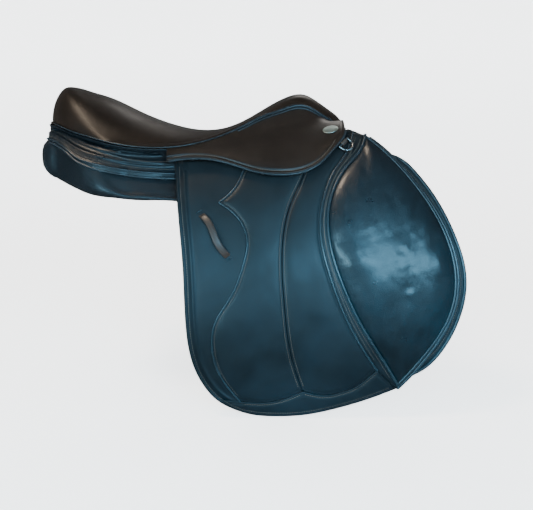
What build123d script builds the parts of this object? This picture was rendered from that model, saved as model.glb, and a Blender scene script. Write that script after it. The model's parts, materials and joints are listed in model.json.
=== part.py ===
from build123d import *
import math
import os

# Frame: +X to the pommel, +Y to the saddle's left, +Z up, in millimetres. The origin is on the
# centre plane, at the top of the channel under the deepest point of the seat. Every paired piece
# is drawn on the right side (-Y) and mirrored.

# Right-side leather lies in layers round one axis along X. A layer is a span of radii from it.
SIDE_AXIS_Y = 430.0
SIDE_AXIS_Z = -300.0
PANEL_OUT = 612.4
SWEAT_LAYER = (613.0, 617.0)
BLOCK_LAYER = (617.2, 627.2)
BILLET_LAYER = (620.4, 624.0)
FLAP_LAYER = (628.0, 632.6)
OVERLAY_LAYER = (632.6, 635.2)
BAND_LAYER = (632.6, 636.8)
KNEE_PAD_LAYER = (632.6, 645.0)
TREE_POINT_LAYER = (596.0, 608.0)
POCKET_LAYER = (592.0, 611.9)
HEAD_PLATE_LAYER = (608.2, 610.7)
GULLET_PLATE_LAYER = (593.3, 595.8)
BAR_PLATE_LAYER = (610.9, 613.4)
BAR_BLADE_LAYER = (624.0, 630.0)
HEAD_RIVET_LAYER = (610.8, 612.2)
BAR_RIVET_LAYER = (613.45, 614.8)
REACH = 330.0

# Seat: (x, centre height, half width, edge height)
SEAT_STATIONS = (
    (-252, 97, 112, 84), (-228, 116, 112, 92), (-208, 121, 114, 90), (-185, 116, 117, 76),
    (-149, 105, 122, 52), (-102, 83, 133, 31), (-53, 64, 132, 27), (-5, 54, 121, 34),
    (44, 59, 99, 49), (85, 78, 81, 68), (126, 101, 62, 90), (160, 110, 54, 98),
    (188, 97, 51, 83), (215, 78, 48, 66), (250, 46, 46, 36))
SEAT_DISH = 2.6
SEAT_PLAN = (
    (-238, 0), (-233, -38), (-216, -72), (-190, -97), (-149, -119), (-102, -132), (-53, -131),
    (-5, -120), (44, -98), (85, -80), (126, -61), (160, -52), (190, -46), (214, -36), (230, -18),
    (234, 0))
SEAM_LINE = (
    (-260, 70), (-218, 64), (-190, 55), (-167, 49), (-140, 42), (-114, 36.5), (-61, 31), (-3, 36),
    (35, 47), (64, 59), (97, 75), (126, 85), (160, 92), (190, 78), (220, 60), (260, 34))
COVER = 3.0
FOAM = (3.6, 15.0)
FOAM_FRONT = 216.0
WEB_LONG = (15.3, 16.6)
WEB_CROSS = (16.8, 18.2)
HEAD_BRIDGE = (16.8, 19.3)
TREE = (19.6, 31.0)
SPRING = (31.3, 33.5)
TREE_ROOM = 34.2
TREE_PLAN = (
    (-226, 0), (-221, -38), (-204, -66), (-180, -84), (-140, -96), (-100, -95), (-53, -87),
    (-5, -80), (44, -74), (85, -60), (126, -46), (160, -38), (186, -33), (200, 0))
WELT = 4.0
WELT_HALF = 2.0
WELT_FRONT = 216.0

# Fold line that the flap and the skirt lift on, and the ranges they are drawn for
FOLD_A = Vector(-40, -139, 22)
FOLD_B = Vector(222, -66, 69)
LEATHER = 3.2
FOLD_GAP = 1.3
BASE_OUT = 7.0
BASE_DROP = 4.0

# Outlines on the side, as (x, z). Runs meet at corners.
FLAP_FRONT = (
    (252, 48), (259, 44), (281, 26), (311, -7), (340, -45), (371, -111), (377, -143), (376, -177),
    (369, -204), (345, -248), (309, -295), (294, -311))
FLAP_BOTTOM = (
    (294, -311), (261, -325), (214, -341), (157, -354), (119, -356), (82, -353), (53, -343),
    (33, -331), (14, -309), (1, -284), (-12, -217), (-16, -138), (-26, -45), (-31, 12))
FLAP_TOP = ((-31, 12), (178, 13), (205, 44), (226, 58), (252, 48))
SEAM_REAR_TOP = ((79, 12), (71, -3), (59, -26), (35, -48))
SEAM_REAR = (
    (35, -48), (61, -67), (76, -98), (71, -132), (53, -178), (31, -214), (26, -247), (40, -296),
    (66, -331))
SEAM_MIDDLE = ((165, 12), (159, -7), (140, -47), (126, -128), (130, -195), (139, -261), (156, -315))
BAND_REAR = (
    (233, 50), (220, 18), (204, -3), (192, -27), (181, -80), (191, -138), (227, -227), (262, -283))
BAND_FRONT = (
    (251, 46), (243, 26), (225, 6), (207, -18), (192, -66), (192, -85), (212, -161), (239, -218),
    (279, -281), (293, -305))
PATCH_TIP = (36, -328)
SCALLOP_REAR = ((66, -331), (105, -332), (126, -328), (156, -315))
SCALLOP_FRONT = ((156, -315), (171, -319), (191, -321), (210, -317), (229, -310), (248, -296), (262, -283))
PATCH_BOTTOM = (
    (36, -328), (53, -340), (82, -349.5), (119, -352.5), (157, -350.5), (214, -337.5),
    (260, -321.5), (289, -309.5))
KNEE_FRONT = (
    (254, 44), (280, 22), (308, -8), (337, -47), (367, -112), (373, -144), (372, -176),
    (365, -203), (341, -246), (306, -290), (293, -305))
SKIRT_EDGE = (
    (217, 84), (222, 66), (220, 53), (203, 30), (176, 5), (154, -4), (121, -7), (88, -3), (61, 5),
    (30, 13), (-5, 15), (-40, 10.5))
SKIRT_REAR_X = -42.0
SKIRT_LIP_RADIUS = 646.4
SKIRT_STATIONS = (-60, -20, 20, 60, 100, 140, 180, 232)
SKIRT_CROWN = 9.5

SWEAT_FRONT = (
    (262, 18), (288, 18), (309, 9), (326, -8), (343, -30), (361, -60), (380, -104), (390, -142),
    (391, -169), (382, -211), (358, -259), (333, -286))
SWEAT_BOTTOM = (
    (333, -286), (300, -302), (240, -324), (157, -342), (100, -341), (56, -322), (26, -285),
    (4, -210), (0, -120), (-6, -20), (-8, 18))
KNEE_BLOCK = (
    (270, -10), (300, -22), (336, -62), (362, -112), (374, -160), (364, -212), (340, -250),
    (318, -262), (300, -235), (288, -180), (284, -120), (272, -60))
THIGH_BLOCK = (
    (22, -150), (36, -156), (46, -190), (52, -240), (60, -290), (48, -304), (30, -282), (20, -240),
    (14, -190))

# Girth billets: top x of each, top and tip heights, width, hole spacing
BILLETS = {"front": 165.0, "rear": 92.0}
BILLET_TOP = -12.0
BILLET_TIP = -296.0
BILLET_WIDTH = 25.0
BILLET_HOLE = 2.5
BILLET_PITCH = 20.0
BILLET_HOLES = 8
BILLET_FIRST_HOLE = -282.0
WEB_LAYER = (617.2, 619.8)

# Stirrup bar and its safety catch
BAR_REAR, BAR_FRONT = 84.0, 186.0
BAR_LOW, BAR_HIGH = 24.0, 36.0
BAR_POST = 13.0
BAR_TIP = 104.0
CATCH_X, CATCH_Z = 90.0, 30.0
CATCH_PIN = 2.0
CATCH_Y = (-107.0, -101.0)

# Dee ring and its chape
DEE_X, DEE_Z = 217.5, 37.0
DEE_RADIUS = 640.8
DEE_SLOPE = (0.594, 0.804)
DEE_BOW = 9.0
DEE_SIDE = 6.0
DEE_WIRE = 1.8
DEE_CLEARANCE = 0.08
DEE_BARREL = 4.2

# Stirrup leather keeper on the rear of the flap
KEEPER_ENDS = ((10, -65), (48, -121))
KEEPER_RISE = 9.0
KEEPER_THICK = 2.4
KEEPER_WIDTH = 11.0

# Panel: x, then the section's points (y, z) from the inner top edge outward and round
PANEL_SECTIONS = (
    (-214, ((-36, 51), (-60, 51), (-88, 43), (-104, 22), (-101, -8), (-80, -12), (-50, 2), (-35, 26))),
    (-195, ((-32, 50), (-60, 49), (-96, 42), (-114, 20), (-112, -14), (-84, -16), (-50, 0), (-33, 24))),
    (-150, ((-29, 34), (-70, 33), (-112, 30), (-132, 6), (-137, -34), (-100, -28), (-54, -8), (-30, 12))),
    (-90, ((-28, 24), (-70, 22), (-112, 21), (-129, -6), (-143, -45), (-104, -36), (-58, -14), (-30, 4))),
    (-25, ((-28, 16), (-64, 18), (-98, 22), (-118, -10), (-136, -50), (-106, -44), (-60, -18), (-30, 0))),
    (40, ((-30, 16), (-56, 20), (-84, 26), (-112, -22), (-135, -76), (-108, -64), (-64, -24), (-34, 0))),
    (110, ((-34, 24), (-50, 30), (-70, 32), (-112, -30), (-146, -104), (-120, -86), (-76, -30), (-42, 6))),
    (180, ((-44, 38), (-52, 42), (-66, 40), (-114, -34), (-152, -122), (-126, -100), (-84, -34), (-52, 12))),
    (240, ((-60, 26), (-68, 28), (-80, 22), (-118, -42), (-152, -124), (-134, -100), (-96, -44), (-68, 0))),
    (262, (
        (-84, -10), (-90, -8), (-98, -14), (-122, -56), (-146, -106), (-134, -92), (-108, -52),
        (-90, -24))))
FACING_SPREAD = 3.4
STRIP_SPREAD = 6.8
FACING_LOW = ((-240, 40), (-196, 25), (-174, 9), (-151, 0), (-126, -6), (-75, -14), (-4, -17))
STRIP_LOW = ((-240, 58), (-200, 47), (-170, 29), (-142, 18), (-113, 11), (-84, 7), (-43, 9))


def side_y(radius, z):
    """Y of a right-side layer's surface at a height."""
    return SIDE_AXIS_Y - math.sqrt(radius ** 2 - (z - SIDE_AXIS_Z) ** 2)


def side_normal(radius, z):
    """Unit vector out of a right-side layer at a height."""
    return Vector(0, (side_y(radius, z) - SIDE_AXIS_Y) / radius, (z - SIDE_AXIS_Z) / radius)


def runs_face(*runs):
    """Face bounded by smooth runs, or straight ones where a run has two points."""
    edges = [Spline(*run) if len(run) > 2 else Line(*run) for run in runs]
    return make_face(edges)


def across(face):
    """Prism through the whole width of the saddle, from a face given as (x, z)."""
    return extrude(Plane.XZ * face, amount=REACH, both=True)


def upright(face):
    """Prism through the whole height, from a face given as (x, y)."""
    return extrude(face, amount=REACH, both=True)


def shell(span):
    """Hollow cylinder round the side axis, between the two radii of a layer."""
    ring = Circle(span[1]) - Circle(span[0])
    tube = extrude(Plane.YZ * ring, amount=2 * REACH, both=True)
    return Pos(0, SIDE_AXIS_Y, SIDE_AXIS_Z) * tube


def layer(face, span):
    """Leather of one layer, cut to an outline."""
    right_half = Pos(0, -REACH / 2, 0) * Box(4 * REACH, REACH, 4 * REACH)
    return across(face) & right_half & shell(span)


def rounded_box_face(x_low, x_high, z_low, z_high, radius):
    """Rounded rectangle on the side, as (x, z)."""
    centre = Pos((x_low + x_high) / 2, (z_low + z_high) / 2)
    return centre * RectangleRounded(x_high - x_low, z_high - z_low, radius)


def poly(*points):
    """Face with straight sides."""
    return make_face(Polyline(*points, close=True))


def reverse(run):
    """The same run from its other end."""
    return tuple(reversed(run))


def pair(nodes, name, shape):
    """Writes a right-side shape and its mirror image."""
    nodes[name + "_right"] = shape
    nodes[name + "_left"] = mirror(shape, about=Plane.XZ)


# ---------------------------------------------------------------- seat and tree

def seat_slab(depths):
    """Solid between two depths below the seat's upper surface."""
    columns = (-1.25, -1.0, -0.8, -0.55, -0.25, 0.0, 0.25, 0.55, 0.8, 1.0, 1.25)
    rows = []
    for x, centre, half, edge in SEAT_STATIONS:
        drop = centre - edge
        rows.append([Vector(x, f * half, centre - drop * abs(f) ** SEAT_DISH - depths[0]) for f in columns])
    face = Face.make_surface_from_array_of_points(rows)
    return Solid.extrude(face, Vector(0, 0, depths[0] - depths[1]))


def plan_face(points, inset):
    """Outline from above, symmetric about the centre plane, moved inward by a distance."""
    mirrored = [(x, -y) for x, y in points]
    looped = [mirrored[1]] + list(points) + [mirrored[-2]]
    moved = []
    for before, (x, y), after in zip(looped, looped[1:], looped[2:]):
        run = (after[0] - before[0], after[1] - before[1])
        length = math.hypot(*run)
        moved.append((x - run[1] / length * inset, y + run[0] / length * inset))
    moved[0] = (moved[0][0], 0)
    moved[-1] = (moved[-1][0], 0)
    right = Spline(*moved, tangents=[(0, -1), (0, 1)])
    left = Spline(*[(x, -y) for x, y in moved], tangents=[(0, 1), (0, -1)])
    return make_face([right, left])


def above_seam(lower):
    """Everything above the seat's seam line, lowered by a distance."""
    line = tuple((x, z - lower) for x, z in SEAM_LINE)
    return across(runs_face(line, (line[-1], (line[-1][0], 200)), ((line[-1][0], 200), (line[0][0], 200)),
                            ((line[0][0], 200), line[0])))


def make_seat_cover():
    outer = upright(plan_face(SEAT_PLAN, 0)) & seat_slab((0, 150)) & above_seam(0)
    inner = upright(plan_face(SEAT_PLAN, COVER)) & seat_slab((COVER, 150))
    return outer - inner


def make_seat_foam():
    pad = upright(plan_face(SEAT_PLAN, COVER + 2.6)) & seat_slab(FOAM) & above_seam(0)
    return pad - Pos(REACH + FOAM_FRONT, 0, 0) * Box(2 * REACH, 2 * REACH, 2 * REACH)


def make_seat_webbing():
    long_web = upright(Pos(-25, 0) * Rectangle(330, 62)) & seat_slab(WEB_LONG)
    cross_webs = [upright(Pos(x, 0) * Rectangle(48, 150)) & seat_slab(WEB_CROSS) for x in (-70, 25)]
    return Compound([long_web.solid()] + [web.solid() for web in cross_webs])


def tree_plan():
    """Tree outline from above, with the opening between its rails."""
    opening = runs_face(((-150, 0), (-140, -45), (-60, -62), (20, -52), (90, -28), (112, 0)),
                        ((112, 0), (90, 28), (20, 52), (-60, 62), (-140, 45), (-150, 0)))
    return plan_face(TREE_PLAN, 0) - opening


def make_tree():
    deck = upright(tree_plan()) & seat_slab(TREE)
    point = layer(rounded_box_face(144, 174, -70, 76, 12), TREE_POINT_LAYER) - seat_slab((-40, TREE[0]))
    return deck + point + mirror(point, about=Plane.XZ)


def make_head_plate():
    bridge = upright(Pos(161, 0) * Rectangle(22, 86)) & seat_slab(HEAD_BRIDGE)
    side = layer(rounded_box_face(150, 172, -40, 89, 6), HEAD_PLATE_LAYER)
    side = side - (upright(Pos(166, 0) * Rectangle(60, 200)) & seat_slab((0, HEAD_BRIDGE[0])))
    return bridge + side + mirror(side, about=Plane.XZ)


def make_gullet_plate():
    bridge = upright(Pos(161, 0) * Rectangle(22, 62)) & seat_slab(SPRING)
    side = layer(rounded_box_face(150, 172, 0, 78, 6), GULLET_PLATE_LAYER)
    side = side - (upright(Pos(166, 0) * Rectangle(60, 200)) & seat_slab((0, SPRING[0])))
    return bridge + side + mirror(side, about=Plane.XZ)


def make_tree_spring():
    strip = runs_face(((-178, -52), (-100, -78), (0, -74), (118, -38)), ((118, -38), (118, -26)),
                      ((118, -26), (0, -60), (-100, -64), (-178, -38)), ((-178, -38), (-178, -52)))
    return upright(strip) & seat_slab(SPRING)


def rivet_heads(places, span, radius=3.6):
    heads = [layer(Pos(x, z) * Circle(radius), span) for x, z in places]
    heads += [mirror(head, about=Plane.XZ) for head in heads]
    return Compound([head.solid() for head in heads])


def make_seat_welt():
    """Piping round the seat's edge, along the seam."""
    outer = upright(plan_face(SEAT_PLAN, -WELT)) & seam_band(WELT_HALF)
    inner = upright(plan_face(SEAT_PLAN, -0.3)) & seam_band(2 * WELT)
    return outer - inner - Pos(REACH + WELT_FRONT, 0, 0) * Box(2 * REACH, 2 * REACH, 2 * REACH)


def seam_band(half):
    """Everything within a height of the seat's seam line."""
    low = tuple((x, z - half) for x, z in SEAM_LINE)
    high = tuple((x, z + half) for x, z in SEAM_LINE)
    return across(runs_face(low, (low[-1], high[-1]), reverse(high), (high[0], low[0])))


# ---------------------------------------------------------------- panel

def panel_block(spread):
    """Right cushion, with its sides moved out by a spread."""
    sections = []
    for x, points in PANEL_SECTIONS:
        mid_y = sum(y for y, z in points) / len(points)
        mid_z = sum(z for y, z in points) / len(points)
        moved = []
        for y, z in points:
            length = math.hypot(y - mid_y, z - mid_z)
            grow = 1 + spread / length
            moved.append((mid_y + (y - mid_y) * grow, mid_z + (z - mid_z) * grow))
        end = -spread if x == PANEL_SECTIONS[0][0] else 0
        wire = Plane(origin=(x + end, 0, 0), x_dir=(0, 1, 0), z_dir=(1, 0, 0)) * Spline(*moved, periodic=True)
        sections.append(make_face(wire))
    return loft(sections)


def panel_room():
    """Space in the right cushion for the tree, the head, the bar plate and the seat above it."""
    tree_space = upright(plan_face(TREE_PLAN, -3)) & seat_slab((-40, TREE_ROOM))
    above = above_seam(0.6)
    pocket = layer(rounded_box_face(138, 194, -98, 120, 10), (POCKET_LAYER[0] - 0.4, 640))
    plate = layer(rounded_box_face(BAR_REAR - 6, BAR_FRONT + 8, 16, 120, 4), (595, 640))
    return tree_space + above + pocket + plate


def make_panel(room):
    rest = panel_block(0) - room
    outer = shell((PANEL_OUT, 700)) & (Pos(REACH - 14, 0, 0) * Box(2 * REACH, 2 * REACH, 4 * REACH))
    return rest - outer


def band_prism(low_line, top_lower):
    """Region between a lower line and the seat's seam, on the rear of the panel."""
    end_x = low_line[-1][0]
    face = runs_face(low_line, (low_line[-1], (end_x, 120)), ((end_x, 120), (low_line[0][0], 120)),
                     ((low_line[0][0], 120), low_line[0]))
    return across(face) - above_seam(top_lower)


def outer_side():
    """The outside of the right cushion and, at the back, its end as far as the channel."""
    side = Pos(0, -REACH - 101, 0) * Box(4 * REACH, 2 * REACH, 4 * REACH)
    end = Pos(-REACH - 190, -REACH - 31, 0) * Box(2 * REACH, 2 * REACH, 4 * REACH)
    return side + end


def make_facing(inner, outer):
    ring = (outer - inner) & band_prism(FACING_LOW, 2.4) & outer_side()
    ring = ring - Pos(REACH - 36, 0, 0) * Box(2 * REACH, 2 * REACH, 4 * REACH)
    return ring.solids().sort_by(SortBy.VOLUME)[-1]


def make_rear_strip(inner, outer):
    ring = (outer - inner) & band_prism(STRIP_LOW, 2.4) & outer_side()
    return ring.solids().sort_by(SortBy.VOLUME)[-1]


def make_channel_lining():
    """Soft strip that closes the top of the channel between the cushions."""
    floor = ((-205, 40), (-150, 20), (-90, 6), (-25, 1), (40, 2), (110, 12), (150, 26))
    top = tuple((x, z + 2.2) for x, z in floor)
    face = runs_face(floor, (floor[-1], top[-1]), reverse(top), (top[0], floor[0]))
    return across(face) & upright(Pos(-28, 0) * Rectangle(354, 49))


# ---------------------------------------------------------------- under the flap

def make_sweat_flap():
    top = (SWEAT_BOTTOM[-1], SWEAT_FRONT[0])
    return layer(runs_face(SWEAT_FRONT, SWEAT_BOTTOM, top), SWEAT_LAYER)


def make_block(points):
    return layer(make_face(Spline(*points, periodic=True)), BLOCK_LAYER)


def make_point_pocket():
    outer = layer(rounded_box_face(140, 192, -84, -26, 12), POCKET_LAYER)
    inner = layer(rounded_box_face(143, 189, -80, 10, 14), (POCKET_LAYER[0] + 1.8, POCKET_LAYER[1] - 0.4))
    return outer - inner


def make_billet_webs():
    straps = []
    for x in BILLETS.values():
        half = BILLET_WIDTH / 2 + 2
        straps.append(layer(rounded_box_face(x - half, x + half, BILLET_TOP - 16, 14, 3), WEB_LAYER).solid())
    return Compound(straps)


def make_billet(x):
    """Strap with a rounded tip and a row of holes."""
    half = BILLET_WIDTH / 2
    tip = BILLET_TIP
    rear_top, front_top = (x - half, BILLET_TOP), (x + half, BILLET_TOP)
    rear_low, front_low = (x - half, tip + 10), (x + half, tip + 10)
    nose = (front_low, (x + half / 2, tip + 2), (x, tip), (x - half / 2, tip + 2), rear_low)
    face = runs_face((rear_top, front_top), (front_top, front_low), nose, (rear_low, rear_top))
    strap = layer(face, BILLET_LAYER)
    for index in range(BILLET_HOLES):
        height = BILLET_FIRST_HOLE + index * BILLET_PITCH
        strap = strap - Pos(x, 0, height) * Rot(90, 0, 0) * Cylinder(BILLET_HOLE, 2 * REACH)
    return strap


# ---------------------------------------------------------------- stirrup bars

def make_stirrup_bar():
    plate = layer(rounded_box_face(BAR_REAR, BAR_FRONT, BAR_LOW - 2, BAR_HIGH + 8, 4), BAR_PLATE_LAYER)
    blade = layer(rounded_box_face(BAR_TIP, BAR_FRONT, BAR_LOW, BAR_HIGH, 4), BAR_BLADE_LAYER)
    front = layer(rounded_box_face(BAR_FRONT - BAR_POST, BAR_FRONT, BAR_LOW, BAR_HIGH, 3),
                  (BAR_PLATE_LAYER[0] + 1, BAR_BLADE_LAYER[1]))
    rear = layer(rounded_box_face(BAR_REAR, BAR_REAR + BAR_POST - 1, BAR_LOW, BAR_HIGH, 3),
                 (BAR_PLATE_LAYER[0] + 1, 700))
    rear = rear & (Pos(0, CATCH_Y[1] + 0.3 + REACH, 0) * Box(4 * REACH, 2 * REACH, 4 * REACH))
    pin = Pos(CATCH_X, CATCH_Y[0] / 2 + CATCH_Y[1] / 2, CATCH_Z) * Rot(90, 0, 0) * Cylinder(CATCH_PIN, 9)
    return plate + blade + front + rear + pin


def make_bar_catch():
    """Thumb catch that closes the open rear end of the bar."""
    width = CATCH_Y[1] - CATCH_Y[0]
    face = rounded_box_face(CATCH_X - 5, BAR_TIP - 0.6, CATCH_Z - 5, CATCH_Z + 5, 3)
    body = Pos(0, sum(CATCH_Y) / 2, 0) * extrude(Plane.XZ * face, amount=width / 2, both=True)
    return body - Pos(CATCH_X, 0, CATCH_Z) * Rot(90, 0, 0) * Cylinder(CATCH_PIN + 0.06, 2 * REACH)


# ---------------------------------------------------------------- flap

def make_flap():
    face = runs_face(FLAP_FRONT, FLAP_BOTTOM, FLAP_TOP[:2], FLAP_TOP[1:3], FLAP_TOP[2:4], FLAP_TOP[3:])
    return layer(face, FLAP_LAYER)


def make_centre_panel():
    top = (SEAM_MIDDLE[0], SEAM_REAR_TOP[0])
    face = runs_face(SEAM_REAR_TOP, SEAM_REAR, SCALLOP_REAR, reverse(SEAM_MIDDLE), top)
    return layer(face, OVERLAY_LAYER)


def make_front_panel():
    top = ((205, 44), BAND_REAR[0])
    face = runs_face(SEAM_MIDDLE, SCALLOP_FRONT, reverse(BAND_REAR), reverse(top), ((205, 44), (178, 13)),
                     ((178, 13), SEAM_MIDDLE[0]))
    return layer(face, OVERLAY_LAYER)


def make_bottom_patch():
    face = runs_face((PATCH_TIP, SCALLOP_REAR[0]), SCALLOP_REAR, SCALLOP_FRONT,
                     (SCALLOP_FRONT[-1], PATCH_BOTTOM[-1]), reverse(PATCH_BOTTOM))
    return layer(face, OVERLAY_LAYER)


def make_trim_band():
    face = runs_face(BAND_REAR, (BAND_REAR[-1], PATCH_BOTTOM[-1]), (PATCH_BOTTOM[-1], BAND_FRONT[-1]),
                     reverse(BAND_FRONT), (BAND_FRONT[0], BAND_REAR[0]))
    return layer(face, BAND_LAYER)


def make_knee_pad():
    face = runs_face(BAND_FRONT, reverse(KNEE_FRONT), (KNEE_FRONT[0], BAND_FRONT[0]))
    return layer(face, KNEE_PAD_LAYER)


def make_keeper():
    """Bowed strap, fixed at both ends, that holds the stirrup leather's spare end."""
    radius = FLAP_LAYER[1]
    ends = [Vector(x, side_y(radius, z), z) for x, z in KEEPER_ENDS]
    middle = (ends[0] + ends[1]) / 2
    along = ends[1] - ends[0]
    out = side_normal(radius, middle.Z)
    frame = Plane(origin=middle + out * 1.1, x_dir=along, z_dir=along.cross(out) * -1)
    sign = 1 if frame.y_dir.dot(out) > 0 else -1
    half = along.length / 2
    inner = ThreePointArc((-half, -sign * 0.6), (0, sign * KEEPER_RISE), (half, -sign * 0.6))
    reach = half + KEEPER_THICK
    crest = (0, sign * (KEEPER_RISE + KEEPER_THICK))
    outer = ThreePointArc((-reach, -sign * 0.6), crest, (reach, -sign * 0.6))
    caps = [Line(inner @ 0, outer @ 0), Line(inner @ 1, outer @ 1)]
    return extrude(frame * make_face([inner, outer] + caps), amount=KEEPER_WIDTH / 2, both=True)


def dee_frame():
    """Plane of the dee ring at rest: x along its straight bar, z out of the flap."""
    out = side_normal(DEE_RADIUS, DEE_Z)
    bar = Vector(DEE_SLOPE[0], 0, DEE_SLOPE[1])
    bar = (bar - out * bar.dot(out)).normalized()
    return Plane(origin=(DEE_X, side_y(DEE_RADIUS, DEE_Z), DEE_Z), x_dir=bar, z_dir=out)


def make_dee_ring():
    bow = Pos(0, -DEE_SIDE, 0) * (Torus(DEE_BOW, DEE_WIRE) & (Pos(0, -50, 0) * Box(100, 100, 100)))
    ring = bow + Rot(0, 90, 0) * Cylinder(DEE_WIRE, 2 * DEE_BOW)
    for x in (-DEE_BOW, DEE_BOW):
        side = Pos(x, -DEE_SIDE / 2, 0) * Rot(90, 0, 0) * Cylinder(DEE_WIRE, DEE_SIDE)
        ring = ring + side + Pos(x, 0, 0) * Sphere(DEE_WIRE)
    return dee_frame() * (ring if dee_bow_points_forward() else Rot(0, 0, 180) * ring)


def dee_bow_points_forward():
    return dee_frame().y_dir.X < 0


def make_dee_chape():
    """Leather tab whose folded end holds the straight side of the dee."""
    barrel = Rot(0, 90, 0) * (Cylinder(DEE_BARREL, 11) - Cylinder(DEE_WIRE + DEE_CLEARANCE, 11))
    side = 1 if dee_bow_points_forward() else -1
    tab = Pos(0, side * (DEE_BARREL + 2), -DEE_BARREL + 1.1) * Box(11, 9, 2.2)
    return dee_frame() * (barrel + tab)


# ---------------------------------------------------------------- skirt

def fold_point(x):
    return FOLD_A + (FOLD_B - FOLD_A) * ((x - FOLD_A.X) / (FOLD_B.X - FOLD_A.X))


def seam_height(x):
    """Height of the seat's seam, straight between the listed points."""
    for (x0, z0), (x1, z1) in zip(SEAM_LINE, SEAM_LINE[1:]):
        if x0 <= x <= x1:
            return z0 + (z1 - z0) * (x - x0) / (x1 - x0)


def seat_half_width(x):
    for (x0, y0), (x1, y1) in zip(SEAT_PLAN, SEAT_PLAN[1:]):
        if x0 <= x <= x1:
            return -(y0 + (y1 - y0) * (x - x0) / (x1 - x0))


def edge_height(x):
    """Height of the skirt's lower edge, straight between the listed points."""
    lower = SKIRT_EDGE[2:]
    for (x1, z1), (x0, z0) in zip(lower, lower[1:]):
        if x0 <= x <= x1:
            return z0 + (z1 - z0) * (x - x0) / (x1 - x0)
    return lower[0][1] if x > lower[0][0] else lower[-1][1]


def strip_section(x, top, low, crown):
    """Thick arc from a top point to a low point, bulging outward; the points lie on its outer face."""
    chord = (low[0] - top[0], low[1] - top[1])
    length = math.hypot(*chord)
    out = (chord[1] / length, -chord[0] / length)
    middle = ((top[0] + low[0]) / 2 + out[0] * crown, (top[1] + low[1]) / 2 + out[1] * crown)
    outer = (top, middle, low)
    inner = [(y - out[0] * LEATHER, z - out[1] * LEATHER) for y, z in outer]
    edges = [ThreePointArc(*outer), Line(outer[2], inner[2]), ThreePointArc(inner[2], inner[1], inner[0]),
             Line(inner[0], outer[0])]
    return Plane(origin=(x, 0, 0), x_dir=(0, 1, 0), z_dir=(1, 0, 0)) * make_face(edges)


def make_skirt():
    sections = []
    for x in SKIRT_STATIONS:
        fold = fold_point(x)
        low_z = edge_height(x) - 6
        low_y = side_y(SKIRT_LIP_RADIUS, low_z)
        length = math.hypot(low_y - fold.Y, low_z - fold.Z)
        down = ((low_y - fold.Y) / length, (low_z - fold.Z) / length)
        top = (fold.Y + down[0] * FOLD_GAP, fold.Z + down[1] * FOLD_GAP)
        sections.append(strip_section(x, top, (low_y, low_z), SKIRT_CROWN * min(1, length / 75)))
    body = loft(sections, ruled=True)
    front, back = SKIRT_EDGE[0], SKIRT_EDGE[-1]
    cutter = runs_face(SKIRT_EDGE, (back, (SKIRT_REAR_X, 12)), ((SKIRT_REAR_X, 12), (SKIRT_REAR_X, 150)),
                       ((SKIRT_REAR_X, 150), (front[0], 150)), ((front[0], 150), front))
    return body & across(cutter)


def make_skirt_base():
    """Fixed upper part of the skirt, between the seat's seam and the fold line."""
    sections = []
    for x in (-41, -20, 20, 60, 100, 140, 180, 208):
        fold = fold_point(x)
        top = (-(seat_half_width(x) + BASE_OUT), seam_height(x) - BASE_DROP)
        length = math.hypot(fold.Y - top[0], fold.Z - top[1])
        down = ((fold.Y - top[0]) / length, (fold.Z - top[1]) / length)
        low = (fold.Y - down[0] * FOLD_GAP, fold.Z - down[1] * FOLD_GAP)
        sections.append(strip_section(x, top, low, 0.02 * length))
    welt_room = upright(plan_face(SEAT_PLAN, -WELT - 0.3)) & seam_band(WELT_HALF + 0.3)
    return loft(sections, ruled=True) - welt_room


def make_badge(skirt):
    """Blank oval on the skirt's front corner."""
    oval = Pos(201, 55.5) * Rot(0, 0, 12) * Ellipse(12, 5)
    lifted = Pos(0, -0.8, 0.4) * skirt
    return (lifted - skirt) & across(oval)


def main():
    nodes = {
        "seat_cover": make_seat_cover(),
        "seat_foam": make_seat_foam(),
        "seat_webbing": make_seat_webbing(),
        "tree_frame": make_tree(),
        "head_plate": make_head_plate(),
        "gullet_plate": make_gullet_plate(),
        "head_rivets": rivet_heads(((161, 60), (161, -10)), HEAD_RIVET_LAYER),
        "bar_rivets": rivet_heads(((112, 38), (161, 38)), BAR_RIVET_LAYER),
        "seat_welt": make_seat_welt(),
        "channel_lining": make_channel_lining(),
    }
    pair(nodes, "tree_spring", make_tree_spring())
    room = panel_room()
    pair(nodes, "panel", make_panel(room))
    inner, middle, outer = (panel_block(spread) for spread in (0.2, FACING_SPREAD, STRIP_SPREAD))
    pair(nodes, "panel_facing", make_facing(inner, middle))
    skirt_base = make_skirt_base()
    pair(nodes, "skirt_base", skirt_base)
    pair(nodes, "rear_strip", make_rear_strip(middle, outer))
    pair(nodes, "sweat_flap", make_sweat_flap())
    pair(nodes, "knee_block", make_block(KNEE_BLOCK))
    pair(nodes, "thigh_block", make_block(THIGH_BLOCK))
    pair(nodes, "point_pocket", make_point_pocket())
    pair(nodes, "billet_webs", make_billet_webs())
    pair(nodes, "stirrup_bar", make_stirrup_bar())
    pair(nodes, "bar_catch", make_bar_catch())
    for place, x in BILLETS.items():
        pair(nodes, place + "_billet", make_billet(x))
    pair(nodes, "flap", make_flap())
    pair(nodes, "centre_panel", make_centre_panel())
    pair(nodes, "front_panel", make_front_panel())
    pair(nodes, "bottom_patch", make_bottom_patch())
    pair(nodes, "trim_band", make_trim_band())
    pair(nodes, "knee_pad", make_knee_pad())
    pair(nodes, "keeper", make_keeper())
    pair(nodes, "dee_chape", make_dee_chape())
    pair(nodes, "dee_ring", make_dee_ring())
    skirt = make_skirt()
    pair(nodes, "skirt", skirt)
    pair(nodes, "badge", make_badge(skirt))

    os.makedirs("parts", exist_ok=True)
    for name, shape in nodes.items():
        export_step(shape, "parts/" + name + ".step")
        print(name)


main()
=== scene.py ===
import json
import math
import random

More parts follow.
